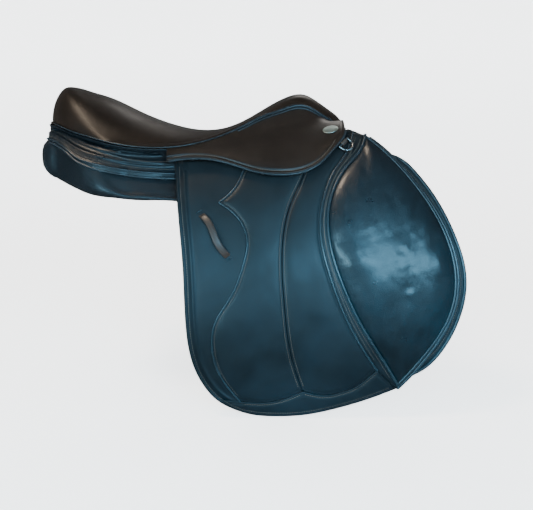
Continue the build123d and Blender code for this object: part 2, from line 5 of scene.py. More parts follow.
import bpy
import numpy as np
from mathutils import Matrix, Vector
from mathutils.geometry import delaunay_2d_cdt


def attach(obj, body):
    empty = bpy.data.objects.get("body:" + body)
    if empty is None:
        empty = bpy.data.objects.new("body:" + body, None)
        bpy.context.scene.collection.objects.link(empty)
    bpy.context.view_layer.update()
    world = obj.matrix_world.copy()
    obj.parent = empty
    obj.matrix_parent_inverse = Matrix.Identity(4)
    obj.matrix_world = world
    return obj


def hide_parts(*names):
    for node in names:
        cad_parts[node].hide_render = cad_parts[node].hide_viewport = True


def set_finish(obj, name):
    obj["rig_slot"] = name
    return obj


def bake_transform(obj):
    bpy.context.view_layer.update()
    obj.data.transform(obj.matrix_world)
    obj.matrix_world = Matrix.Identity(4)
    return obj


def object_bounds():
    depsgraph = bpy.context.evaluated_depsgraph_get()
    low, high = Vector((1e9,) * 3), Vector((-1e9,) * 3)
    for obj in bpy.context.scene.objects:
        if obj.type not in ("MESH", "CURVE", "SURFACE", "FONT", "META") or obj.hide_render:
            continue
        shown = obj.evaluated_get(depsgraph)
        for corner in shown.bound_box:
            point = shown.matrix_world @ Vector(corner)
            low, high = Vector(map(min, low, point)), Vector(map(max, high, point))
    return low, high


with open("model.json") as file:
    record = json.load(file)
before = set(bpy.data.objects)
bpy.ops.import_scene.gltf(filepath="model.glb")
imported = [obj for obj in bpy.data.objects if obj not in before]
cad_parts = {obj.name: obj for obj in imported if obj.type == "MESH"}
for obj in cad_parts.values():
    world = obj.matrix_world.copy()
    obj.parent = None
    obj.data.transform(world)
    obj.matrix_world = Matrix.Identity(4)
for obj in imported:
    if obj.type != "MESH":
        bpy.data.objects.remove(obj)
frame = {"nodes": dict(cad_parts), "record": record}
cad_low, cad_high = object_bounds()

# Lengths below are in millimetres in the row frame: +X to the pommel, +Y to the saddle's left,
# +Z up. Pieces are drawn on the right side (-Y) and mirrored.
MM = 0.001
SIDE_AXIS_Y = 430.0
SIDE_AXIS_Z = -300.0

# ---------------------------------------------------------------- the CAD's own outlines

SEAT_STATIONS = (
    (-252, 97, 112, 84), (-228, 116, 112, 92), (-208, 121, 114, 90), (-185, 116, 117, 76),
    (-149, 105, 122, 52), (-102, 83, 133, 31), (-53, 64, 132, 27), (-5, 54, 121, 34),
    (44, 59, 99, 49), (85, 78, 81, 68), (126, 101, 62, 90), (160, 110, 54, 98),
    (188, 97, 51, 83), (215, 78, 48, 66), (250, 46, 46, 36))
SEAT_PLAN = (
    (-238, 0), (-233, -38), (-216, -72), (-190, -97), (-149, -119), (-102, -132), (-53, -131),
    (-5, -120), (44, -98), (85, -80), (126, -61), (160, -52), (190, -46), (214, -36), (230, -18),
    (234, 0))
SEAM_LINE = (
    (-260, 70), (-218, 64), (-190, 55), (-167, 49), (-140, 42), (-114, 36.5), (-61, 31), (-3, 36),
    (35, 47), (64, 59), (97, 75), (126, 85), (160, 92), (190, 78), (220, 60), (260, 34))
FOLD_A = np.array((-40.0, -139.0, 22.0))
FOLD_B = np.array((222.0, -66.0, 69.0))

FLAP_FRONT = (
    (252, 48), (259, 44), (281, 26), (311, -7), (340, -45), (371, -111), (377, -143), (376, -177),
    (369, -204), (345, -248), (309, -295), (294, -311))
FLAP_BOTTOM = (
    (294, -311), (261, -325), (214, -341), (157, -354), (119, -356), (82, -353), (53, -343),
    (33, -331), (14, -309), (1, -284), (-12, -217), (-16, -138), (-26, -45), (-31, 12))
FLAP_TOP = ((-31, 12), (178, 13), (205, 44), (226, 58), (252, 48))
SEAM_REAR_TOP = ((79, 12), (71, -3), (59, -26), (35, -48))
SEAM_REAR = (
    (35, -48), (61, -67), (76, -98), (71, -132), (53, -178), (31, -214), (26, -247), (40, -296),
    (66, -331))
SEAM_MIDDLE = ((165, 12), (159, -7), (140, -47), (126, -128), (130, -195), (139, -261), (156, -315))
BAND_REAR = (
    (233, 50), (220, 18), (204, -3), (192, -27), (181, -80), (191, -138), (227, -227), (262, -283))
BAND_FRONT = (
    (251, 46), (243, 26), (225, 6), (207, -18), (192, -66), (192, -85), (212, -161), (239, -218),
    (279, -281), (293, -305))
PATCH_TIP = (36, -328)
SCALLOP_REAR = ((66, -331), (105, -332), (126, -328), (156, -315))
SCALLOP_FRONT = (
    (156, -315), (171, -319), (191, -321), (210, -317), (229, -310), (248, -296), (262, -283))
PATCH_BOTTOM = (
    (36, -328), (53, -340), (82, -349.5), (119, -352.5), (157, -350.5), (214, -337.5),
    (260, -321.5), (289, -309.5))
KNEE_FRONT = (
    (254, 44), (280, 22), (308, -8), (337, -47), (367, -112), (373, -144), (372, -176),
    (365, -203), (341, -246), (306, -290), (293, -305))
SKIRT_EDGE = (
    (217, 84), (222, 66), (220, 53), (203, 30), (176, 5), (154, -4), (121, -7), (88, -3), (61, 5),
    (30, 13), (-5, 15), (-40, 10.5))
SWEAT_FRONT = (
    (262, 18), (288, 18), (309, 9), (326, -8), (343, -30), (361, -60), (380, -104), (390, -142),
    (391, -169), (382, -211), (358, -259), (333, -286))
SWEAT_BOTTOM = (
    (333, -286), (300, -302), (240, -324), (157, -342), (100, -341), (56, -322), (26, -285),
    (4, -210), (0, -120), (-6, -20), (-8, 18))
KNEE_BLOCK = (
    (270, -10), (300, -22), (336, -62), (362, -112), (374, -160), (364, -212), (340, -250),
    (318, -262), (300, -235), (288, -180), (284, -120), (272, -60))
THIGH_BLOCK = (
    (22, -150), (36, -156), (46, -190), (52, -240), (60, -290), (48, -304), (30, -282), (20, -240),
    (14, -190))
PANEL_SECTIONS = (
    (-214, ((-36, 51), (-60, 51), (-88, 43), (-104, 22), (-101, -8), (-80, -12), (-50, 2), (-35, 26))),
    (-195, ((-32, 50), (-60, 49), (-96, 42), (-114, 20), (-112, -14), (-84, -16), (-50, 0), (-33, 24))),
    (-150, ((-29, 34), (-70, 33), (-112, 30), (-132, 6), (-137, -34), (-100, -28), (-54, -8), (-30, 12))),
    (-90, ((-28, 24), (-70, 22), (-112, 21), (-129, -6), (-143, -45), (-104, -36), (-58, -14), (-30, 4))),
    (-25, ((-28, 16), (-64, 18), (-98, 22), (-118, -10), (-136, -50), (-106, -44), (-60, -18), (-30, 0))),
    (40, ((-30, 16), (-56, 20), (-84, 26), (-112, -22), (-135, -76), (-108, -64), (-64, -24), (-34, 0))),
    (110, ((-34, 24), (-50, 30), (-70, 32), (-112, -30), (-146, -104), (-120, -86), (-76, -30), (-42, 6))),
    (180, ((-44, 38), (-52, 42), (-66, 40), (-114, -34), (-152, -122), (-126, -100), (-84, -34), (-52, 12))),
    (240, ((-60, 26), (-68, 28), (-80, 22), (-118, -42), (-152, -124), (-134, -100), (-96, -44), (-68, 0))),
    (262, ((-84, -10), (-90, -8), (-98, -14), (-122, -56), (-146, -106), (-134, -92), (-108, -52), (-90, -24))))
FACING_LOW = ((-240, 40), (-196, 25), (-174, 9), (-151, 0), (-126, -6), (-75, -14), (-4, -17))
STRIP_LOW = ((-240, 58), (-200, 47), (-170, 29), (-142, 18), (-113, 11), (-84, 7), (-43, 9))
BILLETS = {"front": 165.0, "rear": 92.0}
KEEPER_ENDS = ((10, -65), (48, -121))


# ---------------------------------------------------------------- curves and distances

def smooth_curve(points, spacing, closed=False):
    """Evenly spaced points on a cubic curve through the given ones; two points make a line."""
    p = np.array(points, float)
    if closed:
        p = np.vstack([p, p[:1]])
    t = np.concatenate([[0.0], np.cumsum(np.linalg.norm(np.diff(p, axis=0), axis=1))])
    h = np.diff(t)
    n = len(t)
    second = np.zeros_like(p)
    if n > 2:
        a = np.zeros((n, n))
        b = np.zeros_like(p)
        for i in range(1, n - 1):
            a[i, i - 1], a[i, i], a[i, i + 1] = h[i - 1], 2 * (h[i - 1] + h[i]), h[i]
            b[i] = 6 * ((p[i + 1] - p[i]) / h[i] - (p[i] - p[i - 1]) / h[i - 1])
        a[0, 0] = a[-1, -1] = 1
        if closed:
            a[0, -1] = -1
            a[-1] = 0
            a[-1, 0], a[-1, 1], a[-1, -1], a[-1, -2] = 2 * h[0], h[0], 2 * h[-1], h[-1]
            b[-1] = 6 * ((p[1] - p[0]) / h[0] - (p[-1] - p[-2]) / h[-1])
        second = np.linalg.solve(a, b)
    fine = []
    for i in range(n - 1):
        u = np.linspace(0, 1, 24, endpoint=False)[:, None]
        w = 1 - u
        fine.append(w * p[i] + u * p[i + 1]
                    + h[i] ** 2 / 6 * ((w ** 3 - w) * second[i] + (u ** 3 - u) * second[i + 1]))
    return even(np.vstack(fine + [p[-1:]]), spacing, closed)


def even(line, spacing, closed=False):
    """The same line with its points at an even spacing."""
    run = np.concatenate([[0.0], np.cumsum(np.linalg.norm(np.diff(line, axis=0), axis=1))])
    count = max(2, int(round(run[-1] / spacing)) + 1)
    at = np.linspace(0, run[-1], count)
    out = np.stack([np.interp(at, run, line[:, k]) for k in range(line.shape[1])], axis=1)
    return out[:-1] if closed else out


def loop_of(spacing, *runs):
    """Closed outline from smooth runs that meet at corners."""
    parts = [smooth_curve(run, spacing)[:-1] for run in runs]
    return np.vstack(parts)


def back(run):
    return tuple(reversed(run))


def shifted(line, distance):
    """A flat line moved to its left."""
    step = np.gradient(line, axis=0)
    step /= np.linalg.norm(step, axis=1)[:, None]
    return line + np.stack([-step[:, 1], step[:, 0]], axis=1) * distance


def trimmed(line, start, end):
    """A line without its first and last stretches."""
    run = np.concatenate([[0.0], np.cumsum(np.linalg.norm(np.diff(line, axis=0), axis=1))])
    keep = (run >= start) & (run <= run[-1] - end)
    return line[keep]


def distance_to(points, line, closed=False):
    """Distance from each flat point to a line."""
    a = line if closed else line[:-1]
    b = np.roll(line, -1, axis=0) if closed else line[1:]
    best = np.full(len(points), 1e9)
    for p, q in zip(a, b):
        d = q - p
        t = np.clip(((points - p) @ d) / max(d @ d, 1e-12), 0, 1)
        best = np.minimum(best, np.hypot(*(points - p - t[:, None] * d).T))
    return best


def inside(points, outline):
    """Which flat points lie in a closed outline."""
    odd = np.zeros(len(points), bool)
    x, y = points.T
    for (x0, y0), (x1, y1) in zip(outline, np.roll(outline, -1, axis=0)):
        if y0 == y1:
            continue
        cross = ((y0 > y) != (y1 > y)) & (x < (x1 - x0) * (y - y0) / (y1 - y0) + x0)
        odd ^= cross
    return odd


def hump(distance, centre, width):
    """Bell curve across a seam."""
    return np.exp(-((distance - centre) / width) ** 2)


def step_up(value, start, end):
    """Smooth step from 0 to 1."""
    t = np.clip((value - start) / (end - start), 0, 1)
    return t * t * (3 - 2 * t)


def waves(points, pitch, seed, octaves=3):
    """Soft uneven noise from sine waves in random directions, from about -1 to 1."""
    rng = random.Random(seed)
    total = np.zeros(len(points))
    for k in range(octaves):
        for _ in range(5):
            angle = rng.uniform(0, math.pi)
            scale = 2 * math.pi / (pitch * 0.6 ** k) * rng.uniform(0.7, 1.3)
            total += 0.5 ** k / 5 * 2 * np.sin(
                scale * (points[:, 0] * math.cos(angle) + points[:, 1] * math.sin(angle)) + rng.uniform(0, 6.28))
    return total


# ---------------------------------------------------------------- meshes

def make_object(name, verts, faces, material, slot, smooth=True):
    mesh = bpy.data.meshes.new(name)
    mesh.from_pydata([tuple(v) for v in np.asarray(verts) * MM], [], [tuple(f) for f in faces])
    mesh.validate()
    if smooth:
        mesh.polygons.foreach_set("use_smooth", [True] * len(mesh.polygons))
    mesh.materials.append(material)
    mesh.update()
    obj = bpy.data.objects.new(name, mesh)
    bpy.context.scene.collection.objects.link(obj)
    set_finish(obj, slot)
    return obj


def thinned(points, gap):
    """Points with near repeats left out."""
    seen, keep = set(), []
    for k, (x, y) in enumerate(points):
        cell = (int(x // gap), int(y // gap))
        if not any((cell[0] + i, cell[1] + j) in seen for i in (-1, 0, 1) for j in (-1, 0, 1)):
            seen.add(cell)
            keep.append(k)
    return points[keep]


def plane_mesh(outline, spacing, rings, creases=(), crease_rings=(), holes=()):
    """Flat triangles in an outline, finer along its edge, its holes and its creases."""
    loops = [outline] + list(holes)
    extra = []
    for ring in rings:
        for k, loop in enumerate(loops):
            closed = np.vstack([loop[-1:], loop, loop[:1]])
            for side in (1, -1):
                extra.append((shifted(closed, side * ring)[1:-1], ring))
    near = []
    for crease in creases:
        near.append(crease)
        for ring in crease_rings:
            near += [shifted(crease, ring), shifted(crease, -ring)]
    low, high = outline.min(0), outline.max(0)
    rows = np.arange(low[1], high[1], spacing * 0.866)
    grid = [(x + (k % 2) * spacing / 2, y) for k, y in enumerate(rows) for x in np.arange(low[0], high[0], spacing)]
    shake = np.random.default_rng(7).uniform(-0.16, 0.16, (len(grid), 2)) * spacing
    grid = np.array(grid) + shake

    def edge_distance(points):
        return np.min([distance_to(points, loop, True) for loop in loops], axis=0)

    kept = []
    for points, ring in extra:
        good = inside(points, outline) & (edge_distance(points) > ring * 0.93)
        kept.append(points[good])
    last = max(rings) if rings else 0
    crease_points = np.vstack(near) if near else np.zeros((0, 2))
    if len(crease_points):
        good = inside(crease_points, outline) & (edge_distance(crease_points) > last + 0.4)
        crease_points = crease_points[good]
    good = inside(grid, outline) & (edge_distance(grid) > last + spacing * 0.45)
    grid = grid[good]
    for crease in creases:
        reach = (max(crease_rings) if crease_rings else 0) + spacing * 0.45
        grid = grid[distance_to(grid, crease) > reach]
    points = [tuple(p) for loop in loops for p in loop]
    ring_points = thinned(np.vstack(kept), min(rings) * 0.9 if rings else 0.3) if kept else np.zeros((0, 2))
    crease_points = thinned(crease_points, 0.5)
    edges, start = [], 0
    for loop in loops:
        edges += [(start + k, start + (k + 1) % len(loop)) for k in range(len(loop))]
        start += len(loop)
    for group in (ring_points, crease_points, grid):
        points += [tuple(p) for p in group]
    verts, _, tris, _, _, _ = delaunay_2d_cdt([Vector(p) for p in points], edges, [], 1, 1e-4)
    verts = np.array([tuple(v) for v in verts])
    tris = np.array([tuple(t) for t in tris])
    middle = verts[tris].mean(1)
    good = inside(middle, outline)
    for hole in holes:
        good &= ~inside(middle, hole)
    return verts, tris[good], edge_distance(verts)


def leather(name, outline, place, top, bottom, material, slot, spacing=5.0, rings=(0.3, 0.8, 1.5, 2.5, 4.0),
            round_edge=1.5, creases=(), crease_rings=(), holes=()):
    """Closed sheet: place turns flat points and heights into space, top and bottom give the heights."""
    flat, tris, edge = plane_mesh(outline, spacing, rings, creases, crease_rings, holes)
    swell = np.sqrt(1 - (1 - np.clip(edge / round_edge, 0, 1)) ** 2)
    high, low = top(flat, edge), bottom(flat, edge)
    rim_height = (high + low) / 2
    upper = place(flat, rim_height + (high - rim_height) * swell)
    lower = place(flat, rim_height + (low - rim_height) * swell)
    rim = edge < 1e-3
    index = np.where(rim, np.arange(len(flat)), 0)
    free = np.flatnonzero(~rim)
    index[free] = len(flat) + np.arange(len(free))
    verts = np.vstack([upper, lower[free]])
    a, b, c = flat[tris[:, 0]], flat[tris[:, 1]], flat[tris[:, 2]]
    turn = (b[:, 0] - a[:, 0]) * (c[:, 1] - a[:, 1]) - (b[:, 1] - a[:, 1]) * (c[:, 0] - a[:, 0])
    tris = np.where(turn[:, None] > 0, tris, tris[:, ::-1])
    under = index[tris][:, ::-1]
    same = (under[:, ::-1] == tris).all(axis=1)
    faces = np.vstack([tris, under[~same]])
    return make_object(name, verts, faces, material, slot)


def flat_height(value):
    return lambda points, edge: np.full(len(points), float(value))


def on_layer(radius):
    """Places flat (x, z) points on the right side, at a distance from the side axis."""
    def place(points, height):
        sine = (points[:, 1] - SIDE_AXIS_Z) / radius
        cosine = np.sqrt(1 - sine ** 2)
        r = radius + height
        return np.stack([points[:, 0], SIDE_AXIS_Y - r * cosine, SIDE_AXIS_Z + r * sine], axis=1)
    return place


def grid_faces(rows, columns, wrap=False):
    faces = []
    last = columns if wrap else columns - 1
    for i in range(rows - 1):
        for j in range(last):
            k = (j + 1) % columns
            faces.append((i * columns + j, i * columns + k, (i + 1) * columns + k, (i + 1) * columns + j))
    return faces


def tube(name, path, radius, material, slot, sides=12, closed=False, flatten=1.0, swell=None):
    """Round piping along a path in space, with domed ends."""
    path = np.asarray(path, float)
    if closed:
        tangent = np.roll(path, -1, axis=0) - np.roll(path, 1, axis=0)
        radii = np.full(len(path), radius) if swell is None else radius * swell
    else:
        ends = [path[0] - (path[1] - path[0]) / np.linalg.norm(path[1] - path[0]) * radius * s for s in (0.98, 0.7, 0.35)]
        tips = [path[-1] + (path[-1] - path[-2]) / np.linalg.norm(path[-1] - path[-2]) * radius * s for s in (0.35, 0.7, 0.98)]
        path = np.vstack([ends, path, tips])
        tangent = np.gradient(path, axis=0)
        radii = np.full(len(path), radius)
        radii[:3] = radii[-1:-4:-1] = radius * np.array([0.2, 0.71, 0.94])
    tangent /= np.linalg.norm(tangent, axis=1)[:, None]
    normal = np.cross(tangent[0], (0.3, 0.2, 0.93))
    normal /= np.linalg.norm(normal)
    verts = []
    for p, t, r in zip(path, tangent, radii):
        normal = normal - t * (normal @ t)
        normal /= np.linalg.norm(normal)
        side = np.cross(t, normal)
        for k in range(sides):
            angle = 2 * math.pi * k / sides
            verts.append(p + (normal * math.cos(angle) + side * math.sin(angle) * flatten) * r)
    faces = grid_faces(len(path), sides, wrap=True)
    if closed:
        n = len(path)
        first = np.array(verts[:sides])
        last = np.array(verts[-sides:])
        twist = int(np.argmin([np.linalg.norm(np.roll(first, -k, axis=0) - last, axis=1).sum() for k in range(sides)]))
        for j in range(sides):
            k = (j + 1) % sides
            faces.append(((n - 1) * sides + j, (n - 1) * sides + k, (k + twist) % sides, (j + twist) % sides))
    else:
        faces.append(tuple(range(sides)))
        faces.append(tuple(range((len(path) - 1) * sides, len(path) * sides))[::-1])
    faces = [tuple(f)[::-1] for f in faces]
    return make_object(name, verts, faces, material, slot)


STITCH_RINGS = ((-1.0, 0.15), (-0.9, 0.62), (-0.55, 0.95), (0.0, 1.0), (0.55, 0.95), (0.9, 0.62), (1.0, 0.15))
STITCH_SIDES = 6


def stitches(name, rows, material, slot, length=2.3, thick=0.62, pitch=3.5):
    """One mesh of thread stitches along rows, each a (points, outward normals) pair in space."""
    verts, faces = [], []
    for line, normals in rows:
        run = np.concatenate([[0.0], np.cumsum(np.linalg.norm(np.diff(line, axis=0), axis=1))])
        if run[-1] < pitch:
            continue
        for at in np.arange(pitch / 2, run[-1], pitch):
            p = np.array([np.interp(at, run, line[:, k]) for k in range(3)])
            ahead = np.array([np.interp(at + 0.8, run, line[:, k]) for k in range(3)])
            behind = np.array([np.interp(at - 0.8, run, line[:, k]) for k in range(3)])
            t = (ahead - behind) / np.linalg.norm(ahead - behind)
            n = np.array([np.interp(at, run, normals[:, k]) for k in range(3)])
            side = np.cross(t, n)
            side /= np.linalg.norm(side)
            n = np.cross(side, t)
            base = len(verts)
            for along, width in STITCH_RINGS:
                for k in range(STITCH_SIDES):
                    angle = 2 * math.pi * k / STITCH_SIDES
                    dip = -0.35 * thick * along ** 2
                    verts.append(p + t * along * length / 2 + side * math.cos(angle) * width * thick / 2
                                 + n * (math.sin(angle) * width * thick * 0.42 + dip))
            for i in range(len(STITCH_RINGS) - 1):
                for k in range(STITCH_SIDES):
                    m = (k + 1) % STITCH_SIDES
                    a, b = base + i * STITCH_SIDES, base + (i + 1) * STITCH_SIDES
                    faces.append((a + k, a + m, b + m, b + k))
            top = base + (len(STITCH_RINGS) - 1) * STITCH_SIDES
            faces.append(tuple(range(base, base + STITCH_SIDES))[::-1])
            faces.append(tuple(range(top, top + STITCH_SIDES)))
    return make_object(name, verts, faces, material, slot)


def row_on(place, line, height):
    """A stitch row on a placed surface: its points and normals."""
    base = place(line, np.full(len(line), float(height)))
    normal = place(line, np.full(len(line), height + 1.0)) - base
    return base, normal


def mirrored(obj, name):
    """The left-hand twin of a right-hand piece."""
    mesh = obj.data.copy()
    mesh.name = name
    co = np.empty(len(mesh.vertices) * 3)
    mesh.vertices.foreach_get("co", co)
    co = co.reshape(-1, 3)
    co[:, 1] *= -1
    mesh.vertices.foreach_set("co", co.ravel())
    had_normals = mesh.has_custom_normals
    normals = [None] * len(mesh.vertices)
    if had_normals:
        for corner, loop in zip(obj.data.corner_normals, obj.data.loops):
            normals[loop.vertex_index] = (corner.vector.x, -corner.vector.y, corner.vector.z)
    mesh.flip_normals()
    mesh.update()
    if had_normals:
        mesh.normals_split_custom_set_from_vertices(normals)
    twin = bpy.data.objects.new(name, mesh)
    bpy.context.scene.collection.objects.link(twin)
    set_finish(twin, obj["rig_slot"])
    return twin


def both_sides(obj, body, nodes=(), blend=None):
    """Puts a right-hand piece on its body, with a mirrored twin on the left; with a blend given, the pieces are not
    put on a body and only have their placement baked in.
    """
    stem = obj.name
    obj.name = obj.data.name = stem + "_right_v"
    pieces = (("right", obj), ("left", mirrored(obj, stem + "_left_v")))
    for side, piece in pieces:
        if blend:
            a, b, start, end = blend
            flip = 1 if side == "right" else -1
            start, end = [(p[0] * MM, p[1] * MM * flip, p[2] * MM) for p in (start, end)]
            name_on(a, side)
            name_on(b, side)
            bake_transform(piece)
            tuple(start)
            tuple(end)
        else:
            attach(piece, name_on(body, side))
        if nodes:
            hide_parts(*[n + "_" + side for n in nodes])


def name_on(body, side):
    return body if body == "root" else body + "_" + side


def on_root(obj, *nodes):
    obj.name = obj.data.name = obj.name + "_v"
    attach(obj, "root")
    if nodes:
        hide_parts(*nodes)
    return obj


def inflate(obj, cap, pressure, frames=18, pins=None):
    rest = np.empty(len(obj.data.vertices) * 3)
    obj.data.vertices.foreach_get("co", rest)
    cloth = obj.modifiers.new("cloth", "CLOTH")
    settings = cloth.settings
    settings.use_pressure = True
    settings.uniform_pressure_force = pressure
    settings.effector_weights.gravity = 0
    settings.quality = 5
    settings.tension_stiffness = settings.compression_stiffness = 12
    settings.bending_stiffness = 0.4
    cloth.collision_settings.use_collision = False
    if pins is not None:
        group = obj.vertex_groups.new(name="held")
        group.add([int(i) for i in pins], 1.0, "REPLACE")
        settings.vertex_group_mass = "held"
    scene = bpy.context.scene
    for number in range(1, frames + 1):
        scene.frame_set(number)
    shape = obj.evaluated_get(bpy.context.evaluated_depsgraph_get())
    moved = np.empty(len(obj.data.vertices) * 3)
    shape.data.vertices.foreach_get("co", moved)
    obj.modifiers.clear()
    scene.frame_set(1)
    travel = (moved - rest).reshape(-1, 3)
    size = np.linalg.norm(travel, axis=1)[:, None]
    limit = cap * MM
    travel *= np.where(size > 1e-9, limit * np.tanh(size / limit) / np.maximum(size, 1e-9), 0)
    obj.data.vertices.foreach_set("co", (rest.reshape(-1, 3) + travel).ravel())
    obj.data.update()
    return obj


def subdivided(obj, levels=1):
    modifier = obj.modifiers.new("smooth", "SUBSURF")
    modifier.levels = modifier.render_levels = levels
    return obj


# ---------------------------------------------------------------- materials

def new_material(name):
    material = bpy.data.materials.new(name)
    material.use_nodes = True
    nodes, links = material.node_tree.nodes, material.node_tree.links
    nodes.clear()
    output = nodes.new("ShaderNodeOutputMaterial")
    shader = nodes.new("ShaderNodeBsdfPrincipled")
    links.new(shader.outputs["BSDF"], output.inputs["Surface"])
    place = nodes.new("ShaderNodeTexCoord")
    return material, nodes, links, shader, place.outputs["Object"]


def noise(nodes, links, place, scale, detail=3.0, roughness=0.5, distortion=0.0):
    node = nodes.new("ShaderNodeTexNoise")
    node.inputs["Scale"].default_value = scale
    node.inputs["Detail"].default_value = detail
    node.inputs["Roughness"].default_value = roughness
    node.inputs["Distortion"].default_value = distortion
    links.new(place, node.inputs["Vector"])
    return node.outputs["Fac"]


def ramp(nodes, links, value, stops):
    node = nodes.new("ShaderNodeValToRGB")
    links.new(value, node.inputs["Fac"])
    ends = node.color_ramp.elements
    for k, (at, color) in enumerate(stops):
        element = ends[k] if k < 2 else ends.new(at)
        element.position = at
        element.color = (*color, 1)
    return node.outputs["Color"]


def spread(nodes, links, value, low, high, start=0.3, end=0.7):
    node = nodes.new("ShaderNodeMapRange")
    links.new(value, node.inputs["Value"])
    for key, number in (("From Min", start), ("From Max", end), ("To Min", low), ("To Max", high)):
        node.inputs[key].default_value = number
    return node.outputs["Result"]


def math_node(nodes, links, kind, a, b):
    node = nodes.new("ShaderNodeMath")
    node.operation = kind
    for socket, value in zip(node.inputs, (a, b)):
        if isinstance(value, (int, float)):
            socket.default_value = value
        else:
            links.new(value, socket)
    return node.outputs[0]


def bump(nodes, links, shader, height, distance, strength=1.0):
    node = nodes.new("ShaderNodeBump")
    node.inputs["Strength"].default_value = strength
    node.inputs["Distance"].default_value = distance
    links.new(height, node.inputs["Height"])
    links.new(node.outputs["Normal"], shader.inputs["Normal"])


def leather_material(name, dark, light, upper=None, rough=(0.3, 0.42), grain=700.0, grain_depth=0.00008,
                     wrinkle=0.0, coat=0.1, coat_rough=0.22, painted_top_tint_z=(-0.12, 0.03), specular=0.22):
    """Finished leather: pores and creases in the bump, tone that varies, and a darker, less blue upper part that is
    painted reflection, standing in for how the light falls.
    """
    material, nodes, links, shader, place = new_material(name)
    tone = noise(nodes, links, place, 9.0, 4.0, 0.6, 0.4)
    color = ramp(nodes, links, tone, ((0.32, dark), (0.68, light)))
    # Painted reflection: over a range of height the colour shifts to the upper one, a darker, less blue tone that
    # stands in for how the light falls on the upper part.
    if upper:
        split = nodes.new("ShaderNodeSeparateXYZ")
        links.new(place, split.inputs["Vector"])
        high = spread(nodes, links, split.outputs["Z"], 0.0, 1.0, *painted_top_tint_z)
        mix = nodes.new("ShaderNodeMix")
        mix.data_type = "RGBA"
        links.new(high, mix.inputs["Factor"])
        links.new(color, mix.inputs["A"])
        mix.inputs["B"].default_value = (*upper, 1)
        color = mix.outputs["Result"]
    links.new(color, shader.inputs["Base Color"])
    links.new(spread(nodes, links, noise(nodes, links, place, 26.0, 5.0, 0.65), *rough), shader.inputs["Roughness"])
    cells = nodes.new("ShaderNodeTexVoronoi")
    cells.feature = "DISTANCE_TO_EDGE"
    cells.inputs["Scale"].default_value = grain
    links.new(place, cells.inputs["Vector"])
    creases = spread(nodes, links, cells.outputs["Distance"], 0.0, 1.0, 0.0, 0.16)
    pores = noise(nodes, links, place, grain * 1.7, 2.0)
    height = math_node(nodes, links, "ADD", math_node(nodes, links, "MULTIPLY", creases, 0.6), pores)
    if wrinkle:
        folds = noise(nodes, links, place, 55.0, 4.0, 0.6, 1.6)
        height = math_node(nodes, links, "ADD", height, math_node(nodes, links, "MULTIPLY", folds, wrinkle))
    bump(nodes, links, shader, height, grain_depth)
    shader.inputs["Coat Weight"].default_value = coat
    shader.inputs["Coat Roughness"].default_value = coat_rough
    shader.inputs["Specular IOR Level"].default_value = specular
    return material


def metal_material(name, color, rough, scratch=160.0):
    material, nodes, links, shader, place = new_material(name)
    stretch = nodes.new("ShaderNodeMapping")
    stretch.inputs["Scale"].default_value = (1.0, 6.0, 1.0)
    links.new(place, stretch.inputs["Vector"])
    grain = noise(nodes, links, stretch.outputs["Vector"], scratch, 4.0, 0.6)
    links.new(ramp(nodes, links, grain, ((0.3, [c * 0.8 for c in color]), (0.7, color))), shader.inputs["Base Color"])
    links.new(spread(nodes, links, grain, *rough), shader.inputs["Roughness"])
    bump(nodes, links, shader, grain, 0.00003)
    shader.inputs["Metallic"].default_value = 1.0
    return material


def woven_material(name, dark, light, scale=420.0):
    """Webbing: crossed bands of thread."""
    material, nodes, links, shader, place = new_material(name)
    bands = []
    for direction in ("X", "Z"):
        wave = nodes.new("ShaderNodeTexWave")
        wave.bands_direction = direction
        wave.inputs["Scale"].default_value = scale
        wave.inputs["Distortion"].default_value = 0.6
        links.new(place, wave.inputs["Vector"])
        bands.append(wave.outputs["Fac"])
    weave = math_node(nodes, links, "MAXIMUM", *bands)
    links.new(ramp(nodes, links, weave, ((0.2, dark), (0.9, light))), shader.inputs["Base Color"])
    links.new(spread(nodes, links, weave, 0.8, 0.95, 0.0, 1.0), shader.inputs["Roughness"])
    bump(nodes, links, shader, weave, 0.0004)
    return material


def foam_material():
    material, nodes, links, shader, place = new_material("foam")
    cells = noise(nodes, links, place, 900.0, 3.0, 0.7)
    links.new(ramp(nodes, links, cells, ((0.3, (0.42, 0.40, 0.34)), (0.7, (0.66, 0.64, 0.57)))), shader.inputs["Base Color"])
    links.new(spread(nodes, links, cells, 0.85, 0.98), shader.inputs["Roughness"])
    bump(nodes, links, shader, cells, 0.0005)
    return material


def wood_material():
    material, nodes, links, shader, place = new_material("laminated_wood")
    rings = nodes.new("ShaderNodeTexWave")
    rings.bands_direction = "Z"
    rings.inputs["Scale"].default_value = 160.0
    rings.inputs["Distortion"].default_value = 5.0
    rings.inputs["Detail"].default_value = 3.0
    links.new(place, rings.inputs["Vector"])
    tone = rings.outputs["Fac"]
    links.new(ramp(nodes, links, tone, ((0.2, (0.30, 0.17, 0.08)), (0.8, (0.55, 0.37, 0.2)))), shader.inputs["Base Color"])
    links.new(spread(nodes, links, tone, 0.35, 0.5, 0.0, 1.0), shader.inputs["Roughness"])
    bump(nodes, links, shader, tone, 0.0001)
    return material
